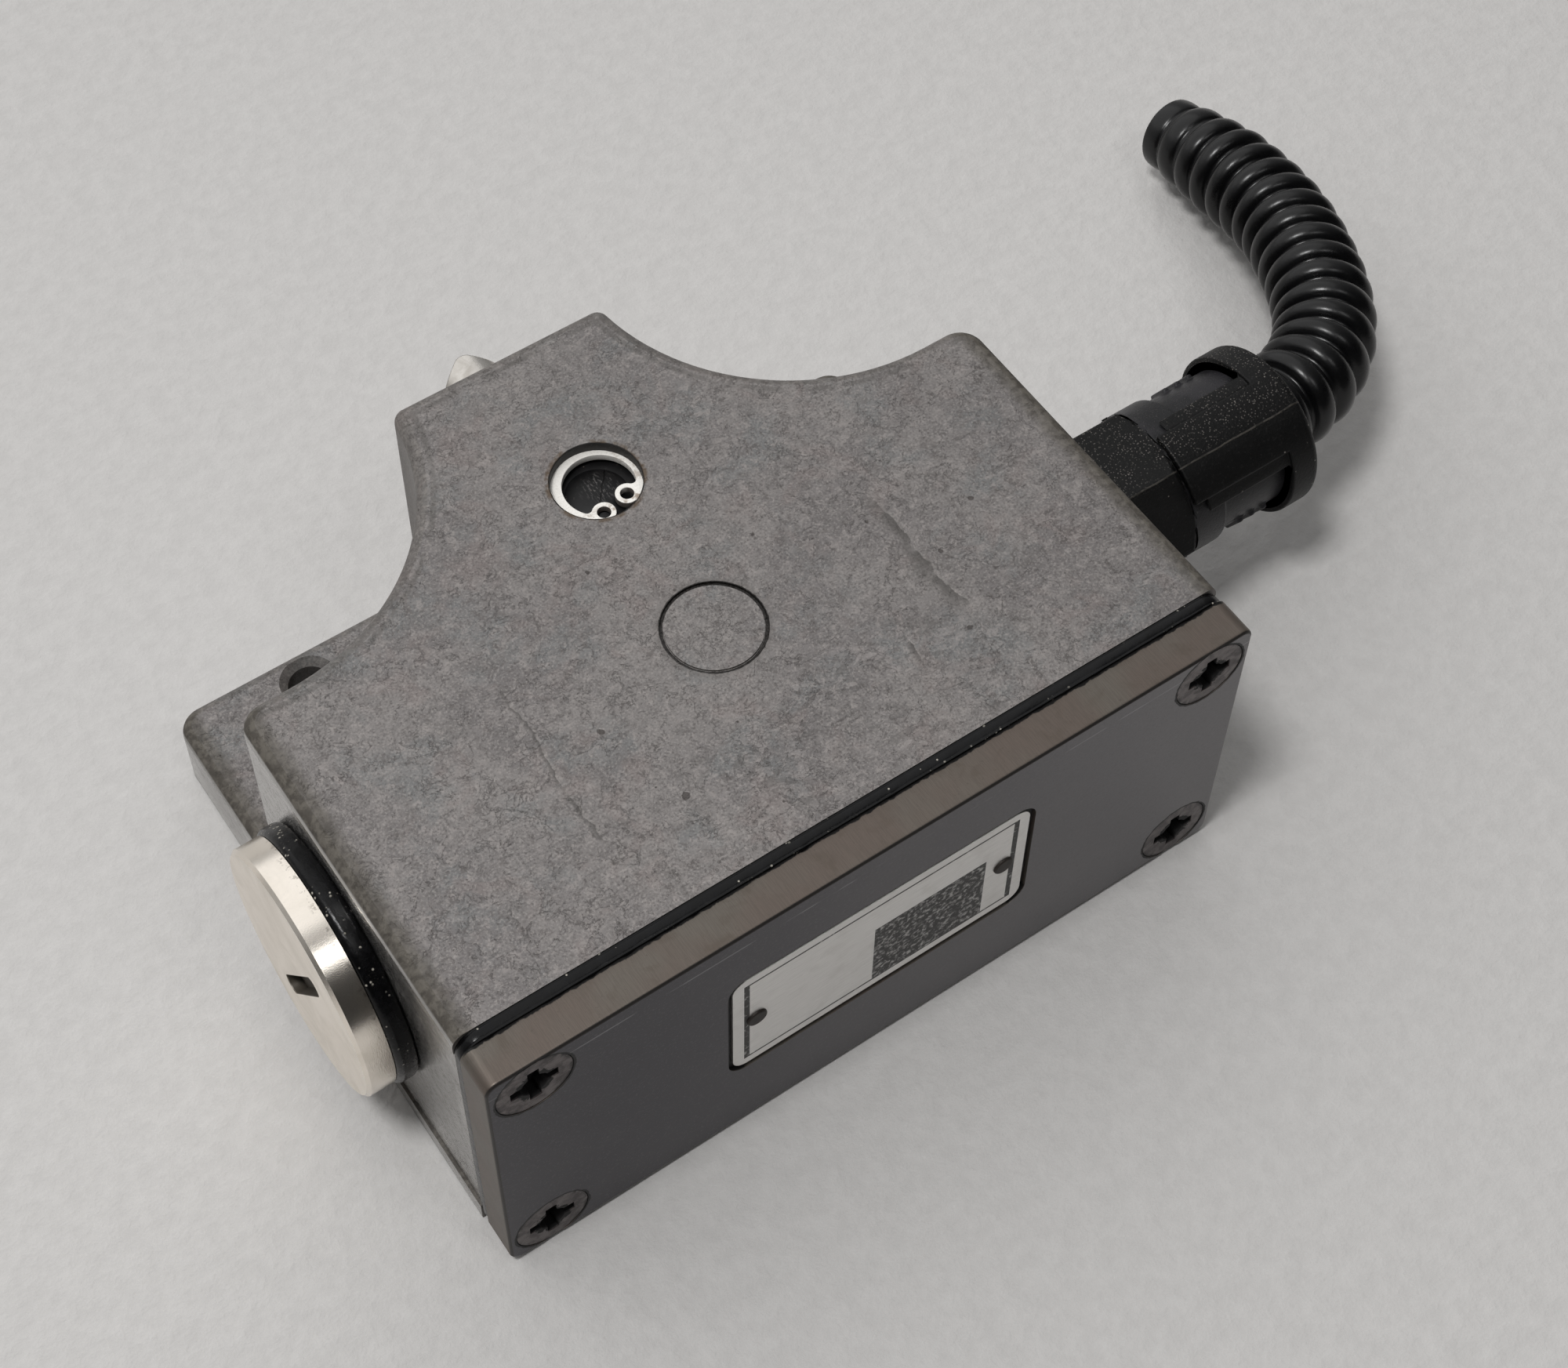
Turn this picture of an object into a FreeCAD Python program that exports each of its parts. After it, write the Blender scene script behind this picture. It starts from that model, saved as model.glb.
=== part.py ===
import FreeCAD, Part
import math
import os

# Multiple limit switch with two plungers. Millimetres, +Z up.
# The mounting face lies on z = 0, the plungers point to +Y, the cover closes the -Y side,
# the blanking plug is on the -X side and the conduit fitting on the +X side.
# Here y = 0 is the plane where the gasket meets the housing. On export the part moves so that
# its origin is midway between the two mounting holes, on the mounting face.

V = FreeCAD.Vector
X = V(1, 0, 0)
Y = V(0, 1, 0)
Z = V(0, 0, 1)

# Housing
HALF_WIDTH = 40.0
HEIGHT = 36.0
DEPTH = 58.3
FLANGE_THICKNESS = 8.0
NOSE_PROUD = 0.8
SHOULDER_Y = 37.6
NOTCH_RADIUS = 23.0
NOTCH_CENTRE_EDGE = 5.3
CORNER_RADIUS = 2.6
NOSE_CORNER_RADIUS = 1.3
TOP_EDGE_RADIUS = 1.3
FLANGE_EDGE_RADIUS = 1.2
SIDE_FLAT_DEPTH = 0.3
SIDE_FLAT_MARGIN = 2.4
SIDE_FLAT_END_MARGIN = 0.6
WALL = 3.5
REAR_WALL = 4.6
SIDE_POCKET_CLEAR = 0.4
CHAMBER_EDGE = 9.5
CHAMBER_CORNER_RADIUS = 2.0
POCKET_CORNER_RADIUS = 1.5

# Mounting holes in the flange
MOUNT_HOLE_R = 2.2
MOUNT_HOLE_RIM_R = 2.97
MOUNT_HOLE_EDGE_X = 13.3
MOUNT_HOLE_EDGE_Y = 3.8

# Cover, gasket and their screws
GASKET_THICKNESS = 1.2
GASKET_INSET = 0.1
GASKET_WIDTH = 2.6
GASKET_LIP = 0.5
GASKET_CORNER_RADIUS = 2.1
COVER_THICKNESS = 4.0
COVER_BOTTOM = 0.15
COVER_TOP_GAP = 0.4
COVER_CORNER_RADIUS = 1.3
COVER_EDGE_RADIUS = 0.35
COVER_SCREW_EDGE_X = 4.5
COVER_SCREW_EDGE_Z = 3.875
COVER_SCREW_BOSS_R = 3.0
COVER_SCREW_BOSS_LENGTH = 10.5
COVER_SCREW_R = 2.0
COVER_SCREW_HEAD_R = 3.75
COVER_SCREW_HEAD_H = 2.0
COVER_SCREW_SINK = 0.05
COVER_SCREW_REACH = 9.0
CROSS_WIDTH = 1.1
CROSS_LENGTH = 4.6
CROSS_DEPTH = 1.5
CROSS_HUB_R = 1.35

# Label plate in its recess
LABEL_HALF_X = 16.0
LABEL_HALF_Z = 8.0
LABEL_THICKNESS = 0.4
LABEL_RISE = 1.0
LABEL_CORNER_RADIUS = 1.6
LABEL_RECESS_DEPTH = 0.5
LABEL_RECESS_MARGIN = 0.55
LABEL_RIVET_X = 13.5
LABEL_RIVET_HEAD_R = 1.05
LABEL_RIVET_HEAD_H = 0.25
LABEL_RIVET_R = 0.8
LABEL_RIVET_LENGTH = 2.0
LABEL_RIVET_HEAD_ROUND = 0.2
LABEL_RIVET_HOLE_EXTRA = 0.4

# Round marking recess on the top face, left bare
MARK_RADIUS = 4.9
MARK_DEPTH = 0.3
MARK_RISE = 0.22
MARK_GROOVE = 0.35
MARK_FROM_ENTRY = 0.1

# Cable entries, both on one axis
ENTRY_FROM_SHOULDER = 16.1
PLUG_THREAD_R = 10.0
PLUG_HEAD_R = 12.5
PLUG_HEAD_T = 2.8
PLUG_HEAD_CHAMFER = 0.35
PLUG_SHANK_LENGTH = 5.4
PLUG_SHANK_BORE_R = 7.6
PLUG_CROWN = 0.6
PLUG_SLOT_WIDTH = 2.0
PLUG_SLOT_LENGTH = 13.8
PLUG_SLOT_DEPTH = 1.2
PLUG_SLOT_SHIFT = 0.5
PLUG_SLOT_OFFSET = -1.1
PLUG_SLOT_ANGLE = -57.0
PLUG_SEAL_R = 12.9
PLUG_SEAL_T = 2.3
PLUG_SEAL_ROUND = 0.7

FITTING_THREAD_R = 6.0
FITTING_SEAL_R = 7.6
FITTING_SEAL_T = 1.2
FITTING_HEX_AF = 15.5
FITTING_HEX_LENGTH = 10.5
FITTING_HEX_TURN = 118.4
FITTING_HEX_CHAMFER = 0.9
FITTING_SHANK_LENGTH = 8.2
FITTING_CORE_R = 7.95
FITTING_CORE_LENGTH = 3.9
FITTING_TIP_R = 7.35
FITTING_TIP_LENGTH = 8.6
FITTING_TIP_TAPER = 0.3
FITTING_THROAT_R = 3.6
FITTING_RIB_H = 0.35
FITTING_RIB_T = 0.7
FITTING_RIB_WIDTH = 3.2
FITTING_RIB_ROOT = 1.2
FITTING_RIB_PITCH = 1.5
FITTING_RIB_START = 2.2
FITTING_RIB_COUNT = 3

SLEEVE_R = 8.75
SLEEVE_START_GAP = 0.05
SLEEVE_LENGTH = 15.3
SLEEVE_COLLAR_LENGTH = 3.5
SLEEVE_WEB_ANGLE = 53.0
SLEEVE_RAIL_ANGLE = 75.0
SLEEVE_RAIL_R = 8.4
SLEEVE_RAIL_START = 1.6
SLEEVE_RUNNING = 0.075
SLEEVE_END_WALL = 1.3
SLEEVE_END_RADIUS = 0.9

LOCKNUT_AF = 15.0
LOCKNUT_T = 3.4

# Conduit, a free hose. Its route is measured from its seat in the fitting.
CONDUIT_R = 5.45
CONDUIT_BORE_R = 4.1
CONDUIT_SEAT_PLAY = 0.25
CONDUIT_MOUTH_PLAY = 0.6
CONDUIT_SEAT_DEPTH = 6.3
CONDUIT_ROUTE = [
    V(0.0, 0.0, 0.0),
    V(9.6, 0.0, 0.0),
    V(19.7, 3.3, -1.4),
    V(28.2, 11.7, -3.6),
    V(36.3, 29.6, -9.1),
    V(36.1, 45.3, -12.45),
]
ARC_SHARE = 0.45

# Plunger row
PLUNGER_PITCH = 12.0
PLUNGER_R = 4.0
PLUNGER_PROUD = 7.9
PLUNGER_ROOF_HALF_ANGLE = 54.0
PLUNGER_TIP_RADIUS = 1.4
PLUNGER_TRAVEL = 4.0
PLUNGER_REAR_STEP = 1.5
PLUNGER_STEM_R = 1.3
PLUNGER_SHOULDER_CHAMFER = 0.4
SEAL_DEPTH = 1.9
SEAL_SINK = 0.2
SEAL_OUTER_R = 5.3
BUSH_LENGTH = 12.6
PLUNGER_REAR_CLEAR = 0.3
PLUNGER_SLOT_CLEAR = 0.1

# Cross bore with its pin, plug and retaining ring
CROSS_BORE_R = 4.35
CROSS_BORE_FROM_NOSE = 17.9
CROSS_BORE_DEPTH = 3.6
CROSS_BORE_RIM = 0.06
PIN_R = 1.5
PIN_BOTTOM = 4.6
PIN_END_CLEAR = 0.05
BORE_PLUG_T = 1.2
BORE_PLUG_DOME_H = 0.6
BORE_PLUG_DOME_R = 3.1
RING_T = 0.8
RING_LIFT = 0.5
RING_R = 4.75
RING_INNER_R = 3.5
RING_EYE_R = 1.15
RING_EYE_HOLE_R = 0.66
RING_EYE_PITCH_R = 2.9
RING_EYE_ANGLE = 31.2
RING_TURN = -77.5
RING_BORE_SHIFT = 0.4
RING_BORE_SHIFT_TURN = 25.0
RING_EYE_FILLET = 0.5
RING_GAP_HALF = 23.0

# Return springs and the bracket they sit on
BRACKET_FROM_WALL = 8.0
BRACKET_T = 1.5
BRACKET_EDGE = 3.0
BRACKET_CLEAR_Z = 1.3
BRACKET_EAR_HALF_Z = 4.6
BRACKET_EAR_ROUND = 1.5
BRACKET_SCREW_R = 1.5
BRACKET_SCREW_HEAD_R = 2.6
BRACKET_SCREW_HEAD_H = 1.9
BRACKET_SCREW_REACH = 7.0
BRACKET_SCREW_CROSS = 2.6
BRACKET_BOSS_R = 3.5
BRACKET_STEM_HOLE_R = 1.75
SPRING_WIRE_R = 0.35
SPRING_MEAN_R = 2.4
SPRING_TURNS = 4.5
SPRING_STEPS = 10
SPRING_END_CLEAR = 0.03

# Switching elements
CASE_HALF_X = 18.0
CASE_LENGTH = 18.0
CASE_HALF_Z = 5.2
CASE_FLOOR = 3.5
CASE_FRONT = 4.5
CASE_CHAMBER_HALF_X = 12.9
CASE_SIDE_WALL = 1.2
CASE_LID_T = 1.0
CASE_ROUND = 0.8
LID_ROUND = 0.3
CASE_SCREW_X = 15.5
CASE_SCREW_R = 1.2
CASE_SCREW_HEAD_R = 2.1
CASE_SCREW_HEAD_H = 1.7
CASE_SCREW_CROSS = 2.2
ACTUATOR_R = 1.6
ACTUATOR_PROUD = 0.2
ACTUATOR_ROUND = 0.4
ACTUATOR_HEAD_LENGTH = 5.7
ACTUATOR_STEM_R = 1.0
ACTUATOR_STEM_LENGTH = 6.0
ACTUATOR_GUIDE_R = 1.35
ACTUATOR_GUIDE_DEPTH = 2.6
BRIDGE_HALF_X = 7.2
BRIDGE_HALF_Z = 2.4
BRIDGE_T = 0.7
BRIDGE_DROP = 3.3
BRIDGE_TRAVEL = 1.0
BRIDGE_HOLE_R = 1.35
BRIDGE_ROUND = 1.0
CONTACT_X = 6.2
CONTACT_R = 0.9
CONTACT_T = 0.5
CONTACT_GAP = 0.3
STRIP_T = 0.7
STRIP_HALF_Z = 2.5
STRIP_CLEAR = 0.05
STRIP_INNER_NC = 4.8
STRIP_OUTER_NO = 7.4
NC_SCREW_X = 10.2
NO_SCREW_X = 4.3
NC_LEG_X = 12.7
NO_LEG_X = 2.0
FOOT_INNER_NC = 8.6
FOOT_OUTER_NO = 6.3
TERMINAL_SCREW_R = 1.2
TERMINAL_SCREW_HEAD_R = 1.95
TERMINAL_SCREW_HEAD_H = 1.8
TERMINAL_SCREW_REACH = 3.0
TERMINAL_SCREW_CROSS = 2.2
TERMINAL_WASHER_R = 2.15
TERMINAL_WASHER_T = 0.6

# Earth terminal
EARTH_EDGE = 4.2
EARTH_RISE = 4.1
EARTH_PAD_HALF = 3.6
EARTH_PAD_STEP = 0.6
EARTH_SCREW_R = 1.7
EARTH_SCREW_HEAD_R = 3.0
EARTH_SCREW_HEAD_H = 2.2
EARTH_SCREW_REACH = 6.5
EARTH_SCREW_CROSS = 3.2
EARTH_WASHER_R = 3.4
EARTH_WASHER_T = 0.8

# Lead wires
WIRE_R = 0.75
WIRE_REACH = 12.3
WIRE_RISE = 0.35
WIRE_OFF_WASHER = 0.45
WIRE_OFF_WALL = 1.7
WIRE_LANE_STEP = 1.8
WIRE_THROAT_OFFSET = 0.9
WIRE_OFF_SIDE = {"right": 9.0, "left": 5.3}
WIRE_OFF_ENTRY = {"right": 11.0, "left": 8.5}

# Shares of a pan head: edge round, cross width and cross depth
HEAD_ROUND_SHARE = 0.3
HEAD_CROSS_WIDTH_SHARE = 0.25
HEAD_CROSS_DEPTH_SHARE = 0.6

# Clearances
SCREW_CLEAR = 0.03
THROUGH_CLEAR = 0.15
RUNNING_CLEAR = 0.04
PRESS_CLEAR = 0.01
LOOSE_CLEAR = 0.3
TAP_EXTRA = 0.3
WELD = 0.01
CUT_EXTRA = 1.0

NOSE_Y = DEPTH + NOSE_PROUD
NOTCH_CENTRE_X = HALF_WIDTH - NOTCH_CENTRE_EDGE
NOTCH_CENTRE_Y = SHOULDER_Y + NOTCH_RADIUS
REAR_Y = SHOULDER_Y - REAR_WALL
MOUNT_X = HALF_WIDTH - MOUNT_HOLE_EDGE_X
MOUNT_HOLE_Y = DEPTH - MOUNT_HOLE_EDGE_Y
COVER_BACK_Y = -GASKET_THICKNESS
COVER_FRONT_Y = COVER_BACK_Y - COVER_THICKNESS
COVER_TOP = HEIGHT - COVER_TOP_GAP
COVER_MID_Z = (COVER_TOP + COVER_BOTTOM) / 2.0
COVER_SCREW_X = HALF_WIDTH - COVER_SCREW_EDGE_X
COVER_SCREW_HALF_Z = (COVER_TOP - COVER_BOTTOM) / 2.0 - COVER_SCREW_EDGE_Z
SIDE_X = HALF_WIDTH - SIDE_FLAT_DEPTH
INNER_X = HALF_WIDTH - WALL
CHAMBER_HALF_X = HALF_WIDTH - CHAMBER_EDGE
SIDE_POCKET_HALF = PLUG_THREAD_R + SIDE_POCKET_CLEAR
ENTRY_Y = SHOULDER_Y - ENTRY_FROM_SHOULDER
ENTRY_Z = HEIGHT / 2.0
LABEL_CENTRE_Z = ENTRY_Z + LABEL_RISE
MARK_Y = ENTRY_Y + MARK_FROM_ENTRY
PLUNGER_TIP_Y = NOSE_Y + PLUNGER_PROUD
PLUNGER_REAR_Y = REAR_Y + PLUNGER_REAR_STEP
CROSS_BORE_Y = NOSE_Y - CROSS_BORE_FROM_NOSE
BRACKET_Y = REAR_Y - BRACKET_FROM_WALL
BRACKET_SCREW_X = (CASE_HALF_X + CHAMBER_HALF_X) / 2.0
BRACKET_EAR_X = BRACKET_SCREW_X + BRACKET_EDGE
BRACKET_HALF_X = CASE_SCREW_X + BRACKET_EDGE
BRACKET_HALF_Z = HEIGHT / 2.0 - WALL - BRACKET_CLEAR_Z
EARTH_X = -CHAMBER_HALF_X + EARTH_EDGE
EARTH_Z = WALL + EARTH_RISE
EARTH_PAD_Y = BRACKET_Y - EARTH_PAD_STEP
WIRE_END_X = SIDE_X + WIRE_REACH
PLUNGER_Z = [ENTRY_Z - PLUNGER_PITCH / 2.0, ENTRY_Z + PLUNGER_PITCH / 2.0]
PLUNGER_NAMES = ["lower", "upper"]
CASE_TOP_Y = BRACKET_Y
CASE_BOTTOM_Y = CASE_TOP_Y - CASE_LENGTH
SPRING_SEAT_Y = BRACKET_Y + BRACKET_T
BORE_R = SEAL_OUTER_R + PRESS_CLEAR
CROSS_FLOOR_Z = HEIGHT - CROSS_BORE_DEPTH
ORIGIN = V(0, MOUNT_HOLE_Y, 0)


def box(x0, x1, y0, y1, z0, z1):
    return Part.makeBox(x1 - x0, y1 - y0, z1 - z0, V(x0, y0, z0))


def cyl(radius, length, start, axis):
    return Part.makeCylinder(radius, length, start, axis)


def ring(outer, inner, length, start, axis):
    hole = cyl(inner, length + 2 * CUT_EXTRA, start - axis * CUT_EXTRA, axis)
    return cyl(outer, length, start, axis).cut(hole)


def cone(r0, r1, length, start, axis):
    return Part.makeCone(r0, r1, length, start, axis)


def fillet_edges(shape, radius, wanted):
    edges = [e for e in shape.Edges if wanted(e)]
    return shape.makeFillet(radius, edges)


def along(edge, axis):
    a = edge.Vertexes[0].Point
    b = edge.Vertexes[-1].Point
    d = b - a
    return d.Length > 1e-6 and abs(abs(d.dot(axis)) - d.Length) < 1e-6


def middle(edge):
    return edge.valueAt((edge.FirstParameter + edge.LastParameter) / 2.0)


def rounded_block(x0, x1, y0, y1, z0, z1, radius, axis):
    block = box(x0, x1, y0, y1, z0, z1)
    return fillet_edges(block, radius, lambda e: along(e, axis))


def hexagon(flats, length, start, turn):
    corner = flats / 2.0 / math.cos(math.radians(30.0))
    points = []
    for k in range(7):
        a = math.radians(turn + 60.0 * k)
        points.append(start + V(0, corner * math.cos(a), corner * math.sin(a)))
    return Part.Face(Part.makePolygon(points)).extrude(X * length)


def polar(radius, degrees):
    a = math.radians(degrees)
    return V(radius * math.cos(a), radius * math.sin(a), 0)


def mirrored(shape):
    return shape.mirror(V(0, 0, 0), X)


def route_wire(points, label=None):
    """Straight runs joined by tangent arcs, with the radii printed where there is a label."""
    edges = []
    last = points[0]
    lengths = [(b - a).Length for a, b in zip(points, points[1:])]
    for k in range(1, len(points) - 1):
        corner = points[k]
        back = (points[k - 1] - corner).normalize()
        ahead = (points[k + 1] - corner).normalize()
        turn = math.pi - back.getAngle(ahead)
        cut = ARC_SHARE * min(lengths[k - 1], lengths[k])
        radius = cut / math.tan(turn / 2.0)
        start = corner + back * cut
        end = corner + ahead * cut
        inward = (back + ahead).normalize()
        centre = corner + inward * math.hypot(radius, cut)
        mid = centre - inward * radius
        edges.append(Part.LineSegment(last, start).toShape())
        edges.append(Part.Arc(start, mid, end).toShape())
        if label:
            print(label, "corner", k, "turn", round(math.degrees(turn), 1),
                  "radius", round(radius, 2))
        last = end
    edges.append(Part.LineSegment(last, points[-1]).toShape())
    return Part.Wire(edges)


def swept(points, radius, label=None):
    path = route_wire(points, label)
    heading = (points[1] - points[0]).normalize()
    circle = Part.Wire([Part.makeCircle(radius, points[0], heading)])
    solid = path.makePipeShell([circle], True, True)
    if solid.Volume < 0:
        solid.reverse()
    if label:
        expected = math.pi * radius * radius * path.Length
        print(label, "length", round(path.Length, 2),
              "volume ratio", round(solid.Volume / expected, 4))
    return solid


def screw_positions():
    for sx in (-1, 1):
        for sz in (-1, 1):
            yield sx * COVER_SCREW_X, COVER_MID_Z + sz * COVER_SCREW_HALF_Z


def screw_bosses(y0, y1):
    """What stays solid round the four cover screws."""
    return Part.makeCompound([cyl(COVER_SCREW_BOSS_R, y1 - y0, V(x, y0, z), Y)
                              for x, z in screw_positions()])


def cross_cut(centre, out, width, length, depth):
    """Cross recess sunk into a screw head whose face is at centre, looking along out."""
    side = V(1, 0, 0)
    up = out.cross(side)
    parts = []
    for a, b in ((side, up), (up, side)):
        start = centre - a * (length / 2.0) - b * (width / 2.0) - out * depth
        face = Part.Face(Part.makePolygon([
            start, start + a * length, start + a * length + b * width, start + b * width, start]))
        parts.append(face.extrude(out * (depth + CUT_EXTRA)))
    return parts[0].fuse(parts[1])


def pan_screw(x, z, head_y, head_r, head_h, shank_r, reach, cross):
    """Screw along +Y: the underside of its head is at head_y, the shank reaches into +Y."""
    head = cyl(head_r, head_h, V(x, head_y - head_h, z), Y)
    head = fillet_edges(head, head_h * HEAD_ROUND_SHARE,
                        lambda e: abs(middle(e).y - (head_y - head_h)) < 1e-6
                        and len(e.Vertexes) == 1)
    shank = cyl(shank_r, reach, V(x, head_y, z), Y)
    screw = head.fuse(shank).removeSplitter()
    recess = cross_cut(V(x, head_y - head_h, z), V(0, -1, 0), cross * HEAD_CROSS_WIDTH_SHARE,
                       cross, head_h * HEAD_CROSS_DEPTH_SHARE)
    return screw.cut(recess)


def outline(half_x, far_y, notch_y, notch_r):
    """Plan outline of the upper body with its two round notches."""
    rise = far_y - notch_y
    nose_x = NOTCH_CENTRE_X - math.sqrt(notch_r ** 2 - rise ** 2)
    a_end = math.atan2(rise, nose_x - NOTCH_CENTRE_X)
    a_mid = (a_end % (2 * math.pi) + 1.5 * math.pi) / 2.0
    mid = V(NOTCH_CENTRE_X + notch_r * math.cos(a_mid), notch_y + notch_r * math.sin(a_mid), 0)
    low = notch_y - notch_r
    edges = [
        Part.LineSegment(V(-half_x, 0, 0), V(half_x, 0, 0)).toShape(),
        Part.LineSegment(V(half_x, 0, 0), V(half_x, low, 0)).toShape(),
        Part.LineSegment(V(half_x, low, 0), V(NOTCH_CENTRE_X, low, 0)).toShape(),
        Part.Arc(V(NOTCH_CENTRE_X, low, 0), mid, V(nose_x, far_y, 0)).toShape(),
        Part.LineSegment(V(nose_x, far_y, 0), V(-nose_x, far_y, 0)).toShape(),
        Part.Arc(V(-nose_x, far_y, 0), V(-mid.x, mid.y, 0), V(-NOTCH_CENTRE_X, low, 0)).toShape(),
        Part.LineSegment(V(-NOTCH_CENTRE_X, low, 0), V(-half_x, low, 0)).toShape(),
        Part.LineSegment(V(-half_x, low, 0), V(-half_x, 0, 0)).toShape(),
    ]
    return Part.Face(Part.Wire(edges))


def make_housing():
    upper = outline(HALF_WIDTH, NOSE_Y, NOTCH_CENTRE_Y, NOTCH_RADIUS).extrude(Z * HEIGHT)
    upper = fillet_edges(upper, CORNER_RADIUS, lambda e: along(e, Z)
                         and abs(abs(middle(e).x) - HALF_WIDTH) < 1e-6 and middle(e).y > 1.0)
    upper = fillet_edges(upper, NOSE_CORNER_RADIUS, lambda e: along(e, Z)
                         and abs(middle(e).y - NOSE_Y) < 1e-6)
    upper = fillet_edges(upper, TOP_EDGE_RADIUS, lambda e: abs(middle(e).z - HEIGHT) < 1e-6
                         and middle(e).y > 1e-3)
    flange = box(-HALF_WIDTH, HALF_WIDTH, 0, DEPTH, 0, FLANGE_THICKNESS)
    flange = fillet_edges(flange, CORNER_RADIUS, lambda e: along(e, Z)
                          and abs(middle(e).y - DEPTH) < 1e-6)
    flange = fillet_edges(flange, FLANGE_EDGE_RADIUS,
                          lambda e: abs(middle(e).z - FLANGE_THICKNESS) < 1e-6
                          and middle(e).y > 1e-3)
    body = upper.fuse(flange).removeSplitter()

    # Milled side flats for the cable entries
    for s in (-1, 1):
        x0, x1 = sorted((s * SIDE_X, s * (HALF_WIDTH + CUT_EXTRA)))
        body = body.cut(box(x0, x1, -CUT_EXTRA, SHOULDER_Y - SIDE_FLAT_END_MARGIN,
                            SIDE_FLAT_MARGIN, HEIGHT - SIDE_FLAT_MARGIN))

    # Wiring chamber, open towards the cover
    chamber = rounded_block(-CHAMBER_HALF_X, CHAMBER_HALF_X, -CUT_EXTRA, REAR_Y,
                            WALL, HEIGHT - WALL, CHAMBER_CORNER_RADIUS, Y)
    sides = rounded_block(-INNER_X, INNER_X, -CUT_EXTRA, REAR_Y,
                          ENTRY_Z - SIDE_POCKET_HALF, ENTRY_Z + SIDE_POCKET_HALF,
                          POCKET_CORNER_RADIUS, Y)
    pocket = chamber.fuse(sides)
    for s in (-1, 1):
        boss = cyl(BRACKET_BOSS_R, REAR_Y - SPRING_SEAT_Y + CUT_EXTRA,
                   V(s * BRACKET_SCREW_X, SPRING_SEAT_Y, ENTRY_Z), Y)
        pocket = pocket.cut(boss)
    pad = box(-CHAMBER_HALF_X, EARTH_X + EARTH_PAD_HALF, EARTH_PAD_Y,
              REAR_Y + CUT_EXTRA, 0, EARTH_Z + EARTH_PAD_HALF)
    pocket = pocket.cut(pad)
    pocket = pocket.cut(screw_bosses(-CUT_EXTRA, COVER_SCREW_BOSS_LENGTH))
    body = body.cut(pocket)

    # Cable entries
    body = body.cut(cyl(PLUG_THREAD_R, WALL + 2 * CUT_EXTRA,
                        V(-HALF_WIDTH - CUT_EXTRA, ENTRY_Y, ENTRY_Z), X))
    body = body.cut(cyl(FITTING_THREAD_R, WALL + 2 * CUT_EXTRA,
                        V(INNER_X - CUT_EXTRA, ENTRY_Y, ENTRY_Z), X))

    # Plunger bores
    for z in PLUNGER_Z:
        front = SEAL_DEPTH + BUSH_LENGTH
        body = body.cut(cyl(BORE_R, front + CUT_EXTRA, V(0, NOSE_Y - front, z), Y))
        body = body.cut(cyl(PLUNGER_R + PLUNGER_REAR_CLEAR, NOSE_Y - REAR_Y,
                            V(0, REAR_Y - CUT_EXTRA, z), Y))

    # Cross bore from the top face and the pin hole under it
    top = V(0, CROSS_BORE_Y, HEIGHT + CUT_EXTRA)
    body = body.cut(cyl(CROSS_BORE_R, CROSS_BORE_DEPTH + CUT_EXTRA, top, -Z))
    body = body.cut(cyl(PIN_R + PRESS_CLEAR, top.z - PIN_BOTTOM, top, -Z))
    groove = cyl(RING_R + PRESS_CLEAR, RING_T + 2 * PRESS_CLEAR,
                 V(0, CROSS_BORE_Y, ring_bottom() - PRESS_CLEAR), Z)
    body = body.cut(groove)
    body = body.cut(cone(CROSS_BORE_R, CROSS_BORE_R + CROSS_BORE_RIM, CROSS_BORE_RIM,
                         V(0, CROSS_BORE_Y, HEIGHT - CROSS_BORE_RIM), Z))

    # Round marking recess, its floor a slightly raised disc inside a groove
    at = V(0, MARK_Y, HEIGHT - MARK_DEPTH)
    body = body.cut(cyl(MARK_RADIUS, MARK_DEPTH + CUT_EXTRA, at, Z))
    body = body.fuse(cyl(MARK_RADIUS - MARK_GROOVE, MARK_RISE, at, Z)).removeSplitter()

    # Mounting holes with chamfered rims
    rim = MOUNT_HOLE_RIM_R - MOUNT_HOLE_R
    for s in (-1, 1):
        foot = V(s * MOUNT_X, MOUNT_HOLE_Y, 0)
        body = body.cut(cyl(MOUNT_HOLE_R, FLANGE_THICKNESS + 2 * CUT_EXTRA, foot - Z * CUT_EXTRA, Z))
        body = body.cut(cone(MOUNT_HOLE_R, MOUNT_HOLE_RIM_R, rim,
                             foot + Z * (FLANGE_THICKNESS - rim), Z))

    # Tapped holes, as plain holes
    for x, z in screw_positions():
        body = body.cut(cyl(COVER_SCREW_R + SCREW_CLEAR, COVER_SCREW_REACH + 2 * CUT_EXTRA,
                            V(x, -CUT_EXTRA, z), Y))
    for s in (-1, 1):
        body = body.cut(cyl(BRACKET_SCREW_R + SCREW_CLEAR, BRACKET_SCREW_REACH - BRACKET_T + TAP_EXTRA,
                            V(s * BRACKET_SCREW_X, SPRING_SEAT_Y, ENTRY_Z), Y))
    body = body.cut(cyl(EARTH_SCREW_R + SCREW_CLEAR, EARTH_SCREW_REACH + TAP_EXTRA,
                        V(EARTH_X, EARTH_PAD_Y, EARTH_Z), Y))
    return body


def ring_bottom():
    return CROSS_FLOOR_Z + BORE_PLUG_T + RING_LIFT


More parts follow.
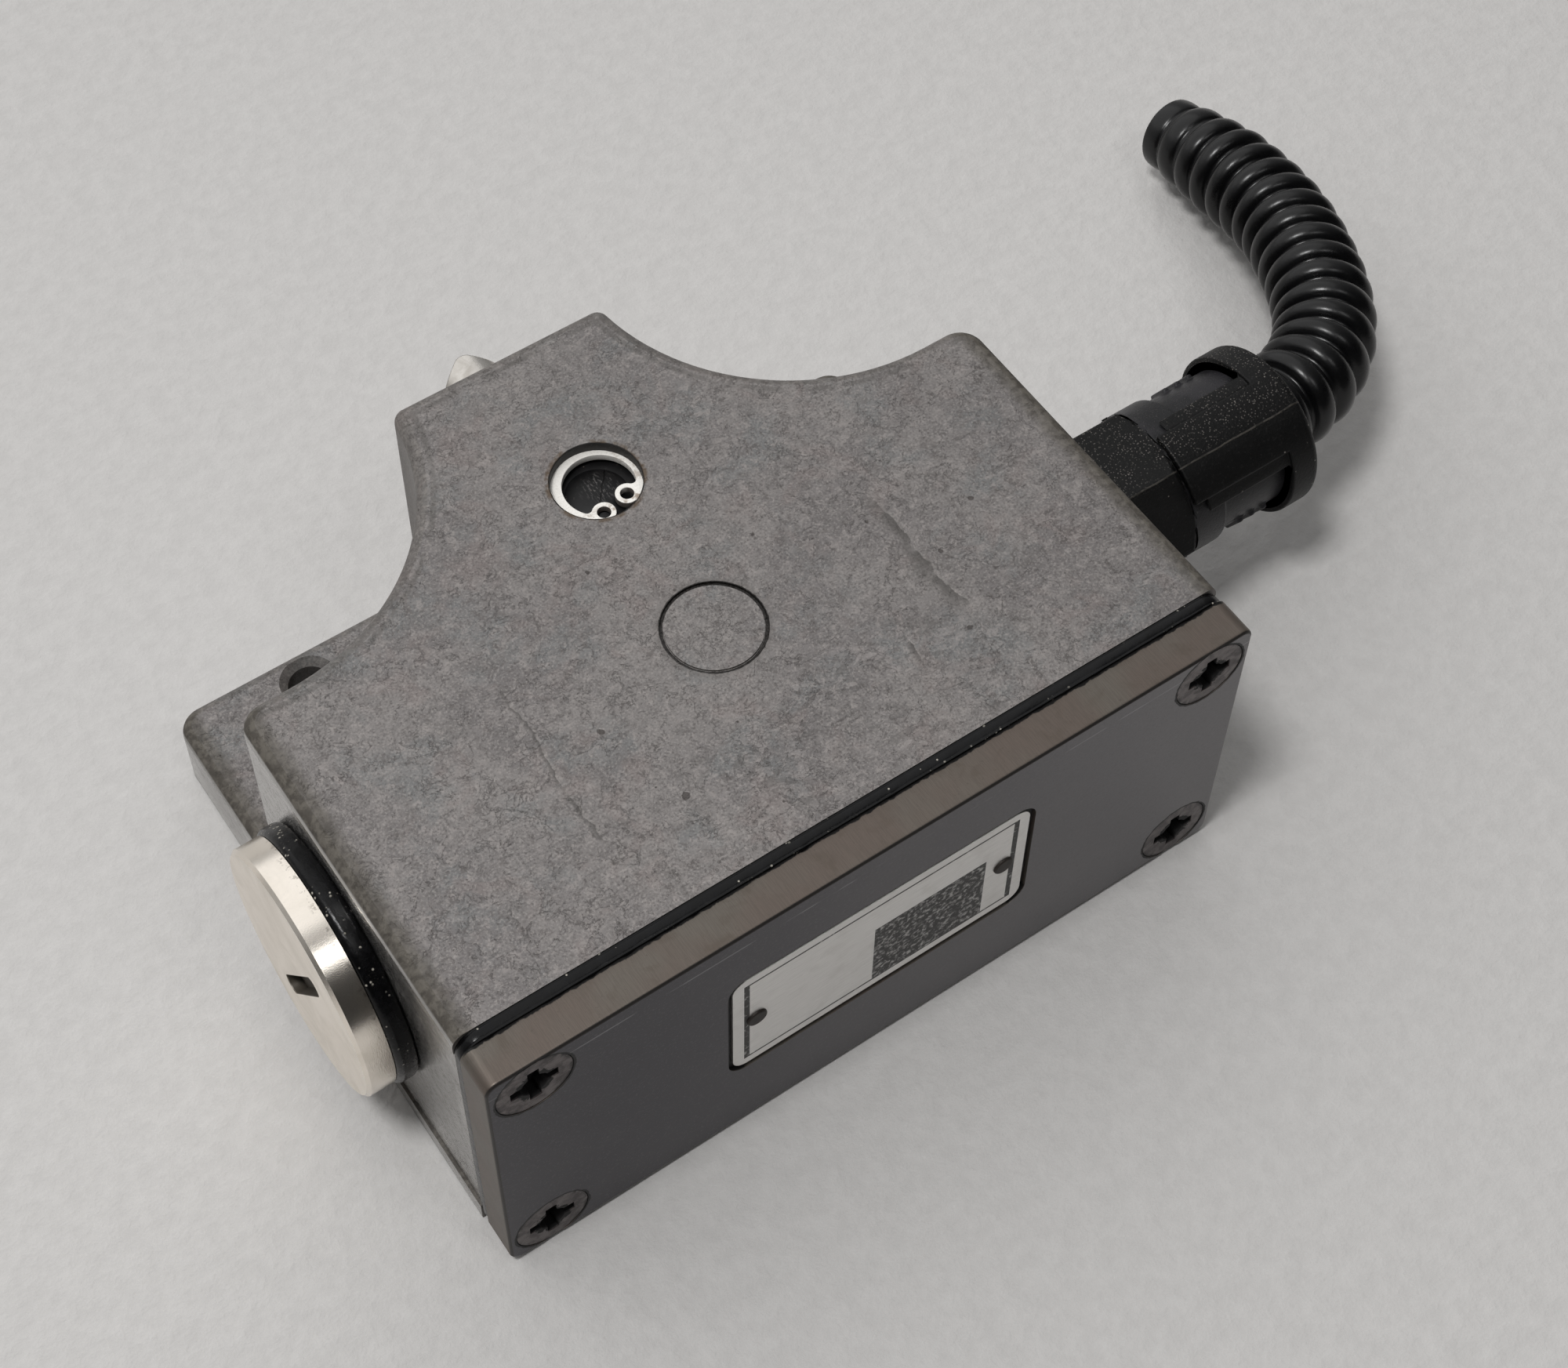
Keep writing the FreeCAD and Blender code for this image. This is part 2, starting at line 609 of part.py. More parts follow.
def make_cover_gasket():
    top, bottom = HEIGHT - GASKET_INSET, GASKET_INSET
    half = HALF_WIDTH - GASKET_INSET
    sheet = rounded_block(-half, half, COVER_BACK_Y, 0, bottom, top, GASKET_CORNER_RADIUS, Y)
    inner_x = INNER_X - GASKET_LIP
    inner_z = SIDE_POCKET_HALF - GASKET_LIP
    hole = rounded_block(-inner_x, inner_x, COVER_BACK_Y - CUT_EXTRA, CUT_EXTRA,
                         ENTRY_Z - inner_z, ENTRY_Z + inner_z, POCKET_CORNER_RADIUS, Y)
    tall = rounded_block(-CHAMBER_HALF_X, CHAMBER_HALF_X, COVER_BACK_Y - CUT_EXTRA, CUT_EXTRA,
                         bottom + GASKET_WIDTH, top - GASKET_WIDTH, POCKET_CORNER_RADIUS, Y)
    opening = hole.fuse(tall).cut(screw_bosses(COVER_BACK_Y - CUT_EXTRA, CUT_EXTRA))
    sheet = sheet.cut(opening)
    for x, z in screw_positions():
        sheet = sheet.cut(cyl(COVER_SCREW_R + THROUGH_CLEAR, GASKET_THICKNESS + 2 * CUT_EXTRA,
                              V(x, COVER_BACK_Y - CUT_EXTRA, z), Y))
    return sheet


def make_cover_plate():
    plate = rounded_block(-HALF_WIDTH, HALF_WIDTH, COVER_FRONT_Y, COVER_BACK_Y,
                          COVER_BOTTOM, COVER_TOP, COVER_CORNER_RADIUS, Y)
    plate = fillet_edges(plate, COVER_EDGE_RADIUS,
                         lambda e: abs(middle(e).y - COVER_FRONT_Y) < 1e-6)
    m = LABEL_RECESS_MARGIN
    recess = rounded_block(-LABEL_HALF_X - m, LABEL_HALF_X + m,
                           COVER_FRONT_Y - CUT_EXTRA, COVER_FRONT_Y + LABEL_RECESS_DEPTH,
                           LABEL_CENTRE_Z - LABEL_HALF_Z - m, LABEL_CENTRE_Z + LABEL_HALF_Z + m,
                           LABEL_CORNER_RADIUS + m, Y)
    plate = plate.cut(recess)
    for s in (-1, 1):
        plate = plate.cut(cyl(LABEL_RIVET_R + PRESS_CLEAR, LABEL_RIVET_LENGTH + LABEL_RIVET_HOLE_EXTRA,
                              V(s * LABEL_RIVET_X, COVER_FRONT_Y + LABEL_RECESS_DEPTH
                                - LABEL_THICKNESS, LABEL_CENTRE_Z), Y))
    sink_y = COVER_FRONT_Y + COVER_SCREW_SINK
    for x, z in screw_positions():
        plate = plate.cut(cyl(COVER_SCREW_R + THROUGH_CLEAR, COVER_THICKNESS + 2 * CUT_EXTRA,
                              V(x, COVER_FRONT_Y - CUT_EXTRA, z), Y))
        plate = plate.cut(cyl(COVER_SCREW_HEAD_R + SCREW_CLEAR, COVER_SCREW_SINK + CUT_EXTRA,
                              V(x, COVER_FRONT_Y - CUT_EXTRA, z), Y))
        plate = plate.cut(cone(COVER_SCREW_HEAD_R + SCREW_CLEAR, COVER_SCREW_R + SCREW_CLEAR,
                               COVER_SCREW_HEAD_H, V(x, sink_y, z), Y))
    return plate


def make_cover_screws():
    screws = []
    face_y = COVER_FRONT_Y + COVER_SCREW_SINK
    for x, z in screw_positions():
        head = cone(COVER_SCREW_HEAD_R, COVER_SCREW_R, COVER_SCREW_HEAD_H, V(x, face_y, z), Y)
        shank = cyl(COVER_SCREW_R, COVER_SCREW_REACH - face_y - COVER_SCREW_HEAD_H,
                    V(x, face_y + COVER_SCREW_HEAD_H, z), Y)
        screw = head.fuse(shank).removeSplitter()
        screw = screw.cut(cross_cut(V(x, face_y, z), V(0, -1, 0),
                                    CROSS_WIDTH, CROSS_LENGTH, CROSS_DEPTH))
        screw = screw.cut(cyl(CROSS_HUB_R, CROSS_DEPTH + CUT_EXTRA, V(x, face_y - CUT_EXTRA, z), Y))
        screws.append(screw)
    return Part.makeCompound(screws)


def make_label_plate():
    y0 = COVER_FRONT_Y + LABEL_RECESS_DEPTH - LABEL_THICKNESS
    plate = rounded_block(-LABEL_HALF_X, LABEL_HALF_X, y0, y0 + LABEL_THICKNESS,
                          LABEL_CENTRE_Z - LABEL_HALF_Z, LABEL_CENTRE_Z + LABEL_HALF_Z,
                          LABEL_CORNER_RADIUS, Y)
    for s in (-1, 1):
        plate = plate.cut(cyl(LABEL_RIVET_R + PRESS_CLEAR, LABEL_THICKNESS + 2 * CUT_EXTRA,
                              V(s * LABEL_RIVET_X, y0 - CUT_EXTRA, LABEL_CENTRE_Z), Y))
    return plate


def make_label_rivets():
    rivets = []
    y0 = COVER_FRONT_Y + LABEL_RECESS_DEPTH - LABEL_THICKNESS
    for s in (-1, 1):
        head = cyl(LABEL_RIVET_HEAD_R, LABEL_RIVET_HEAD_H,
                   V(s * LABEL_RIVET_X, y0 - LABEL_RIVET_HEAD_H, LABEL_CENTRE_Z), Y)
        head = fillet_edges(head, LABEL_RIVET_HEAD_ROUND,
                            lambda e: abs(middle(e).y - (y0 - LABEL_RIVET_HEAD_H)) < 1e-6
                            and len(e.Vertexes) == 1)
        shank = cyl(LABEL_RIVET_R, LABEL_RIVET_LENGTH,
                    V(s * LABEL_RIVET_X, y0, LABEL_CENTRE_Z), Y)
        rivets.append(head.fuse(shank).removeSplitter())
    return Part.makeCompound(rivets)


def make_blanking_plug():
    head_x = -SIDE_X - PLUG_SEAL_T
    head = cyl(PLUG_HEAD_R, PLUG_HEAD_T, V(head_x, ENTRY_Y, ENTRY_Z), -X)
    head = head.makeChamfer(PLUG_HEAD_CHAMFER, [
        e for e in head.Edges
        if len(e.Vertexes) == 1 and abs(middle(e).x - (head_x - PLUG_HEAD_T)) < 1e-6])
    shank = cyl(PLUG_THREAD_R - SCREW_CLEAR, PLUG_SEAL_T + PLUG_SHANK_LENGTH,
                V(head_x, ENTRY_Y, ENTRY_Z), X)
    plug = head.fuse(shank).removeSplitter()
    plug = plug.cut(cyl(PLUG_SHANK_BORE_R, PLUG_SEAL_T + PLUG_SHANK_LENGTH + CUT_EXTRA,
                        V(head_x + PLUG_CROWN, ENTRY_Y, ENTRY_Z), X))
    # Screwdriver slot with closed, rounded ends
    a = math.radians(PLUG_SLOT_ANGLE)
    run = V(0, math.cos(a), math.sin(a))
    side = V(0, -math.sin(a), math.cos(a))
    mid = V(head_x - PLUG_HEAD_T, ENTRY_Y, ENTRY_Z)
    mid += run * PLUG_SLOT_SHIFT + side * PLUG_SLOT_OFFSET
    half = PLUG_SLOT_LENGTH / 2.0 - PLUG_SLOT_WIDTH / 2.0
    p = [mid + run * i * half + side * j * PLUG_SLOT_WIDTH / 2.0
         for i, j in ((-1, -1), (1, -1), (1, 1), (-1, 1))]
    slot = Part.Face(Part.makePolygon(p + [p[0]])).extrude(X * PLUG_SLOT_DEPTH)
    for s in (-1, 1):
        slot = slot.fuse(cyl(PLUG_SLOT_WIDTH / 2.0, PLUG_SLOT_DEPTH, mid + run * s * half, X))
    return plug.cut(slot.removeSplitter())


def make_blanking_plug_seal():
    seal = ring(PLUG_SEAL_R, PLUG_THREAD_R + THROUGH_CLEAR, PLUG_SEAL_T,
                V(-SIDE_X - PLUG_SEAL_T, ENTRY_Y, ENTRY_Z), X)
    return fillet_edges(seal, PLUG_SEAL_ROUND, lambda e: len(e.Vertexes) == 1
                        and abs(e.Curve.Radius - PLUG_SEAL_R) < 1e-6)


def fitting_face_x():
    return SIDE_X + FITTING_SEAL_T


def hex_end_x():
    return fitting_face_x() + FITTING_HEX_LENGTH


def make_conduit_fitting():
    centre = V(0, ENTRY_Y, ENTRY_Z)
    hexa = hexagon(FITTING_HEX_AF, FITTING_HEX_LENGTH, centre + X * fitting_face_x(),
                   FITTING_HEX_TURN)
    corner = FITTING_HEX_AF / 2.0 / math.cos(math.radians(30.0))
    trim = cyl(corner + CUT_EXTRA, FITTING_HEX_LENGTH, centre + X * fitting_face_x(), X)
    c = FITTING_HEX_CHAMFER
    trim = trim.common(
        cyl(corner, FITTING_HEX_LENGTH - c, centre + X * fitting_face_x(), X).fuse(
            cone(corner, corner - c, c, centre + X * (hex_end_x() - c), X)))
    body = hexa.common(trim)
    body = body.fuse(cyl(FITTING_THREAD_R - SCREW_CLEAR, FITTING_SHANK_LENGTH + WELD,
                         centre + X * (fitting_face_x() - FITTING_SHANK_LENGTH), X))
    core_end = hex_end_x() + FITTING_CORE_LENGTH
    body = body.fuse(cyl(FITTING_CORE_R, FITTING_CORE_LENGTH, centre + X * hex_end_x(), X))
    body = body.fuse(cone(FITTING_CORE_R, FITTING_TIP_R, FITTING_TIP_TAPER, centre + X * core_end, X))
    body = body.fuse(cyl(FITTING_TIP_R, FITTING_TIP_LENGTH - FITTING_TIP_TAPER,
                         centre + X * (core_end + FITTING_TIP_TAPER), X))
    # Low ribs in each window
    for k in range(FITTING_RIB_COUNT):
        x0 = core_end + FITTING_TIP_TAPER + FITTING_RIB_START + k * FITTING_RIB_PITCH
        for s in (-1, 1):
            a = math.radians(FITTING_HEX_TURN - s * 90.0)
            out = V(0, math.cos(a), math.sin(a))
            side = V(0, -math.sin(a), math.cos(a))
            p0 = (centre + X * x0 + out * (FITTING_TIP_R - FITTING_RIB_ROOT)
                  - side * FITTING_RIB_WIDTH / 2.0)
            rib = Part.Face(Part.makePolygon([
                p0, p0 + side * FITTING_RIB_WIDTH,
                p0 + side * FITTING_RIB_WIDTH + X * FITTING_RIB_T, p0 + X * FITTING_RIB_T, p0]))
            body = body.fuse(rib.extrude(out * (FITTING_RIB_ROOT + FITTING_RIB_H)))
    body = body.removeSplitter()
    start = fitting_face_x() - FITTING_SHANK_LENGTH - CUT_EXTRA
    through = core_end + FITTING_TIP_LENGTH + CUT_EXTRA - start
    body = body.cut(cyl(FITTING_THROAT_R, through, centre + X * start, X))
    body = body.cut(cyl(CONDUIT_R + CONDUIT_SEAT_PLAY, through, conduit_seat(), X))
    return body


def make_fitting_seal():
    return ring(FITTING_SEAL_R, FITTING_THREAD_R + THROUGH_CLEAR, FITTING_SEAL_T,
                V(SIDE_X, ENTRY_Y, ENTRY_Z), X)


def make_locknut():
    nut = hexagon(LOCKNUT_AF, LOCKNUT_T, V(INNER_X - LOCKNUT_T, ENTRY_Y, ENTRY_Z), 0.0)
    return nut.cut(cyl(FITTING_THREAD_R + SCREW_CLEAR, LOCKNUT_T + 2 * CUT_EXTRA,
                       V(INNER_X - LOCKNUT_T - CUT_EXTRA, ENTRY_Y, ENTRY_Z), X))


def make_locking_sleeve():
    centre = V(0, ENTRY_Y, ENTRY_Z)
    x0 = hex_end_x() + SLEEVE_START_GAP
    sleeve = cyl(SLEEVE_R, SLEEVE_LENGTH, centre + X * x0, X)
    sleeve = fillet_edges(sleeve, SLEEVE_END_RADIUS, lambda e: len(e.Vertexes) == 1
                          and abs(middle(e).x - (x0 + SLEEVE_LENGTH)) < 1e-6)
    inner = SLEEVE_LENGTH - SLEEVE_END_WALL
    sleeve = sleeve.cut(cyl(FITTING_CORE_R + SLEEVE_RUNNING, inner + CUT_EXTRA,
                            centre + X * (x0 - CUT_EXTRA), X))
    sleeve = sleeve.cut(cyl(CONDUIT_R + CONDUIT_MOUTH_PLAY, SLEEVE_LENGTH + 2 * CUT_EXTRA,
                            centre + X * (x0 - CUT_EXTRA), X))
    # Two windows leave two webs, one along the parting line and one opposite. A lower rail runs
    # along each side of a web.
    open_length = SLEEVE_LENGTH - SLEEVE_COLLAR_LENGTH
    rail_cut = cyl(SLEEVE_RAIL_R, SLEEVE_LENGTH, centre + X * x0, X)
    for s in (-1, 1):
        side = FITTING_HEX_TURN - s * 90.0
        sleeve = sleeve.cut(wedge_along_x(centre, side, 90.0 - SLEEVE_RAIL_ANGLE / 2.0,
                                          x0 - CUT_EXTRA, x0 + open_length))
        beside = wedge_along_x(centre, side, 90.0 - SLEEVE_WEB_ANGLE / 2.0,
                               x0 - CUT_EXTRA, x0 + open_length)
        sleeve = sleeve.cut(beside.cut(rail_cut))
        sleeve = sleeve.cut(wedge_along_x(centre, side, 90.0 - SLEEVE_WEB_ANGLE / 2.0,
                                          x0 - CUT_EXTRA, x0 + SLEEVE_RAIL_START))
    return sleeve


def wedge_along_x(centre, turn, half, x0, x1):
    far = SLEEVE_R * 1.6
    points = [centre]
    for step in range(5):
        a = math.radians(turn - half + step * half / 2.0)
        points.append(centre + V(0, far * math.cos(a), far * math.sin(a)))
    points.append(centre)
    face = Part.Face(Part.makePolygon([p + X * x0 for p in points]))
    return face.extrude(X * (x1 - x0))


def conduit_seat():
    tip_x = hex_end_x() + FITTING_CORE_LENGTH + FITTING_TIP_LENGTH
    return V(tip_x - CONDUIT_SEAT_DEPTH, ENTRY_Y, ENTRY_Z)


def make_conduit():
    route = [conduit_seat() + step for step in CONDUIT_ROUTE]
    outer = swept(route, CONDUIT_R, "conduit outside")
    inner = swept(route, CONDUIT_BORE_R, "conduit bore")
    return outer.cut(inner)


def make_plunger(z):
    """Round plunger with a roof-shaped tip whose rounded ridge runs along Z."""
    tip, r = PLUNGER_TIP_Y, PLUNGER_TIP_RADIUS
    half = math.radians(PLUNGER_ROOF_HALF_ANGLE)
    c = PLUNGER_SHOULDER_CHAMFER
    body = cyl(PLUNGER_R, tip - PLUNGER_REAR_Y, V(0, PLUNGER_REAR_Y + c, z), Y)
    touch_x, touch_y = r * math.cos(half), tip - r + r * math.sin(half)
    wide = 2 * PLUNGER_R
    eave_y = touch_y - (wide - touch_x) / math.tan(half)
    z0 = z - 2 * PLUNGER_R
    edges = [
        Part.LineSegment(V(-wide, PLUNGER_REAR_Y, z0), V(wide, PLUNGER_REAR_Y, z0)).toShape(),
        Part.LineSegment(V(wide, PLUNGER_REAR_Y, z0), V(wide, eave_y, z0)).toShape(),
        Part.LineSegment(V(wide, eave_y, z0), V(touch_x, touch_y, z0)).toShape(),
        Part.Arc(V(touch_x, touch_y, z0), V(0, tip, z0), V(-touch_x, touch_y, z0)).toShape(),
        Part.LineSegment(V(-touch_x, touch_y, z0), V(-wide, eave_y, z0)).toShape(),
        Part.LineSegment(V(-wide, eave_y, z0), V(-wide, PLUNGER_REAR_Y, z0)).toShape(),
    ]
    body = body.common(Part.Face(Part.Wire(edges)).extrude(Z * 4 * PLUNGER_R))
    body = body.fuse(cone(PLUNGER_R - c, PLUNGER_R, c, V(0, PLUNGER_REAR_Y, z), Y))
    stem_y = BRACKET_Y + ACTUATOR_PROUD + LOOSE_CLEAR
    stem = cyl(PLUNGER_STEM_R, PLUNGER_REAR_Y - stem_y + WELD, V(0, stem_y, z), Y)
    body = body.fuse(stem).removeSplitter()
    # Slot for the cross pin, as long as the travel
    wide = PIN_R + PLUNGER_SLOT_CLEAR
    slot = box(-wide, wide, CROSS_BORE_Y, CROSS_BORE_Y + PLUNGER_TRAVEL,
               z - 2 * PLUNGER_R, z + 2 * PLUNGER_R)
    for dy in (0.0, PLUNGER_TRAVEL):
        slot = slot.fuse(cyl(wide, 4 * PLUNGER_R, V(0, CROSS_BORE_Y + dy, z - 2 * PLUNGER_R), Z))
    return body.cut(slot.removeSplitter())


def make_plunger_seal(z):
    return ring(SEAL_OUTER_R, PLUNGER_R + RUNNING_CLEAR, SEAL_DEPTH - SEAL_SINK,
                V(0, NOSE_Y - SEAL_DEPTH, z), Y)


def make_plunger_bush(z):
    return ring(SEAL_OUTER_R, PLUNGER_R + RUNNING_CLEAR, BUSH_LENGTH,
                V(0, NOSE_Y - SEAL_DEPTH - BUSH_LENGTH, z), Y)


def make_return_spring(z):
    """Coil from the bracket to the rear face of the plunger, as short runs joined by arcs."""
    foot = SPRING_SEAT_Y + SPRING_WIRE_R + SPRING_END_CLEAR
    rise = PLUNGER_REAR_Y - SPRING_WIRE_R - SPRING_END_CLEAR - foot
    steps = int(SPRING_TURNS * SPRING_STEPS)
    points = []
    for k in range(steps + 1):
        around = polar(SPRING_MEAN_R, 360.0 * k / SPRING_STEPS)
        points.append(V(around.x, foot + rise * k / steps, z + around.y))
    return swept(points, SPRING_WIRE_R)


def make_retaining_pin():
    return cyl(PIN_R, CROSS_FLOOR_Z - PIN_BOTTOM - 2 * PIN_END_CLEAR,
               V(0, CROSS_BORE_Y, PIN_BOTTOM + PIN_END_CLEAR), Z)


def make_bore_plug():
    disc = cyl(CROSS_BORE_R - PRESS_CLEAR, BORE_PLUG_T, V(0, CROSS_BORE_Y, CROSS_FLOOR_Z), Z)
    h, r = BORE_PLUG_DOME_H, BORE_PLUG_DOME_R
    ball_r = (r * r + h * h) / (2.0 * h)
    ball = Part.makeSphere(ball_r, V(0, CROSS_BORE_Y, CROSS_FLOOR_Z + BORE_PLUG_T + h - ball_r))
    dome = ball.common(cyl(ball_r, 2 * h, V(0, CROSS_BORE_Y, CROSS_FLOOR_Z + BORE_PLUG_T), Z))
    return disc.fuse(dome).removeSplitter()


def is_eye_root(edge, centre):
    """An upright edge where an eye runs into the band, away from the gap."""
    out = middle(edge) - centre
    upright = abs(edge.tangentAt(edge.FirstParameter).z) > 0.99
    off_gap = abs(math.degrees(polar(1.0, RING_TURN).getAngle(V(out.x, out.y, 0))))
    return upright and math.hypot(out.x, out.y) < RING_R - RING_T and off_gap > RING_EYE_ANGLE


def make_retaining_ring():
    z0 = ring_bottom()
    centre = V(0, CROSS_BORE_Y, z0)
    shift = polar(RING_BORE_SHIFT, RING_BORE_SHIFT_TURN)
    flat = cyl(RING_R, RING_T, centre, Z)
    deep = RING_T + 2 * CUT_EXTRA
    low = centre - Z * CUT_EXTRA
    flat = flat.cut(cyl(RING_INNER_R, deep, low + shift, Z))
    ends = [polar(RING_EYE_PITCH_R, RING_TURN + s * RING_EYE_ANGLE) for s in (-1, 1)]
    points = [low]
    for a in (RING_TURN - RING_GAP_HALF, RING_TURN, RING_TURN + RING_GAP_HALF):
        points.append(low + polar(2 * RING_R, a))
    points.append(low)
    flat = flat.cut(Part.Face(Part.makePolygon(points)).extrude(Z * deep))
    for e in ends:
        flat = flat.fuse(cyl(RING_EYE_R, RING_T, centre + e, Z))
    flat = flat.common(cyl(RING_R, RING_T, centre, Z)).removeSplitter()
    flat = fillet_edges(flat, RING_EYE_FILLET, lambda e: is_eye_root(e, centre))
    for e in ends:
        flat = flat.cut(cyl(RING_EYE_HOLE_R, deep, low + e, Z))
    return flat


def make_contact_bracket():
    plate = box(-BRACKET_HALF_X, BRACKET_HALF_X, BRACKET_Y, SPRING_SEAT_Y,
                ENTRY_Z - BRACKET_HALF_Z, ENTRY_Z + BRACKET_HALF_Z)
    ears = rounded_block(-BRACKET_EAR_X, BRACKET_EAR_X, BRACKET_Y, SPRING_SEAT_Y,
                         ENTRY_Z - BRACKET_EAR_HALF_Z, ENTRY_Z + BRACKET_EAR_HALF_Z,
                         BRACKET_EAR_ROUND, Y)
    plate = plate.fuse(ears).removeSplitter()
    deep = BRACKET_T + 2 * CUT_EXTRA
    for z in PLUNGER_Z:
        plate = plate.cut(cyl(BRACKET_STEM_HOLE_R, deep, V(0, BRACKET_Y - CUT_EXTRA, z), Y))
        for s in (-1, 1):
            plate = plate.cut(cyl(CASE_SCREW_R + SCREW_CLEAR, deep,
                                  V(s * CASE_SCREW_X, BRACKET_Y - CUT_EXTRA, z), Y))
    for s in (-1, 1):
        plate = plate.cut(cyl(BRACKET_SCREW_R + THROUGH_CLEAR, deep,
                              V(s * BRACKET_SCREW_X, BRACKET_Y - CUT_EXTRA, ENTRY_Z), Y))
    return plate


def make_bracket_screws():
    return Part.makeCompound([
        pan_screw(s * BRACKET_SCREW_X, ENTRY_Z, BRACKET_Y, BRACKET_SCREW_HEAD_R,
                  BRACKET_SCREW_HEAD_H, BRACKET_SCREW_R, BRACKET_SCREW_REACH,
                  BRACKET_SCREW_CROSS)
        for s in (-1, 1)])


def bridge_top():
    return CASE_TOP_Y + ACTUATOR_PROUD - ACTUATOR_HEAD_LENGTH - BRIDGE_DROP


def case_span(z):
    return z - CASE_HALF_Z, z + CASE_HALF_Z - CASE_LID_T


def strip_points(closed):
    """Y of the strip's underside, its leg and foot in x, and its screw, for one contact pair."""
    if closed:
        under = bridge_top() + 2 * CONTACT_T + CONTACT_GAP
        return under, NC_LEG_X, STRIP_INNER_NC, FOOT_INNER_NC, NC_SCREW_X
    lowest = bridge_top() - BRIDGE_T - CONTACT_T - BRIDGE_TRAVEL - CONTACT_GAP
    return lowest - CONTACT_T - STRIP_T, NO_LEG_X, STRIP_OUTER_NO, FOOT_OUTER_NO, NO_SCREW_X


def make_element_case(z):
    z0, z1 = case_span(z)
    case = rounded_block(-CASE_HALF_X, CASE_HALF_X, CASE_BOTTOM_Y, CASE_TOP_Y, z0, z1,
                         CASE_ROUND, Y)
    floor = CASE_BOTTOM_Y + CASE_FLOOR
    case = case.cut(box(-CASE_CHAMBER_HALF_X, CASE_CHAMBER_HALF_X, floor,
                        CASE_TOP_Y - CASE_FRONT, z0 + CASE_SIDE_WALL, z1 + CUT_EXTRA))
    case = case.cut(cyl(ACTUATOR_R + RUNNING_CLEAR, CASE_FRONT + 2 * CUT_EXTRA,
                        V(0, CASE_TOP_Y - CASE_FRONT - CUT_EXTRA, z), Y))
    case = case.cut(cyl(ACTUATOR_GUIDE_R, ACTUATOR_GUIDE_DEPTH + CUT_EXTRA,
                        V(0, floor - ACTUATOR_GUIDE_DEPTH, z), Y))
    for leg in (NC_LEG_X - STRIP_T, NO_LEG_X):
        for s in (-1, 1):
            x0, x1 = sorted((s * (leg - STRIP_CLEAR), s * (leg + STRIP_T + STRIP_CLEAR)))
            case = case.cut(box(x0, x1, CASE_BOTTOM_Y - CUT_EXTRA, floor + CUT_EXTRA,
                                z - STRIP_HALF_Z - STRIP_CLEAR, z + STRIP_HALF_Z + STRIP_CLEAR))
    for x in (NC_SCREW_X, NO_SCREW_X):
        for s in (-1, 1):
            case = case.cut(cyl(TERMINAL_SCREW_R + SCREW_CLEAR,
                                TERMINAL_SCREW_REACH + TAP_EXTRA + CUT_EXTRA,
                                V(s * x, CASE_BOTTOM_Y - CUT_EXTRA, z), Y))
    for s in (-1, 1):
        case = case.cut(cyl(CASE_SCREW_R + THROUGH_CLEAR, CASE_LENGTH + 2 * CUT_EXTRA,
                            V(s * CASE_SCREW_X, CASE_BOTTOM_Y - CUT_EXTRA, z), Y))
    return case


def make_element_lid(z):
    z1 = case_span(z)[1]
    return rounded_block(-CASE_HALF_X, CASE_HALF_X, CASE_BOTTOM_Y, CASE_TOP_Y,
                         z1, z1 + CASE_LID_T, LID_ROUND, Y)


def make_element_actuator(z):
    top = CASE_TOP_Y + ACTUATOR_PROUD
    head = cyl(ACTUATOR_R, ACTUATOR_HEAD_LENGTH, V(0, top - ACTUATOR_HEAD_LENGTH, z), Y)
    head = fillet_edges(head, ACTUATOR_ROUND,
                        lambda e: len(e.Vertexes) == 1 and abs(middle(e).y - top) < 1e-6)
    stem = cyl(ACTUATOR_STEM_R, ACTUATOR_STEM_LENGTH,
               V(0, top - ACTUATOR_HEAD_LENGTH - ACTUATOR_STEM_LENGTH, z), Y)
    return head.fuse(stem).removeSplitter()


def make_contact_bridge(z):
    top = bridge_top()
    bar = rounded_block(-BRIDGE_HALF_X, BRIDGE_HALF_X, top - BRIDGE_T, top,
                        z - BRIDGE_HALF_Z, z + BRIDGE_HALF_Z, BRIDGE_ROUND, Y)
    bar = bar.cut(cyl(BRIDGE_HOLE_R, BRIDGE_T + 2 * CUT_EXTRA, V(0, top - BRIDGE_T - CUT_EXTRA, z), Y))
    for s in (-1, 1):
        bar = bar.fuse(cyl(CONTACT_R, BRIDGE_T + 2 * CONTACT_T,
                           V(s * CONTACT_X, top - BRIDGE_T - CONTACT_T, z), Y))
    return bar.removeSplitter()


def make_fixed_contacts(z):
    solids = []
    foot_y0, foot_y1 = CASE_BOTTOM_Y - STRIP_T, CASE_BOTTOM_Y
    z0, z1 = z - STRIP_HALF_Z, z + STRIP_HALF_Z
    for closed in (True, False):
        under, leg, inner, foot, screw = strip_points(closed)
        if closed:
            bar = box(inner, leg, under, under + STRIP_T, z0, z1)
            down = box(leg - STRIP_T, leg, foot_y0, under + STRIP_T, z0, z1)
            base = box(foot, leg, foot_y0, foot_y1, z0, z1)
            tip = cyl(CONTACT_R, CONTACT_T, V(CONTACT_X, under - CONTACT_T, z), Y)
        else:
            bar = box(leg, inner, under, under + STRIP_T, z0, z1)
            down = box(leg, leg + STRIP_T, foot_y0, under + STRIP_T, z0, z1)
            base = box(leg, foot, foot_y0, foot_y1, z0, z1)
            tip = cyl(CONTACT_R, CONTACT_T, V(CONTACT_X, under + STRIP_T, z), Y)
        strip = bar.fuse([down, base, tip]).removeSplitter()
        strip = strip.cut(cyl(TERMINAL_SCREW_R + SCREW_CLEAR, STRIP_T + 2 * CUT_EXTRA,
                              V(screw, foot_y0 - CUT_EXTRA, z), Y))
        solids += [strip, mirrored(strip)]
    return Part.makeCompound(solids)


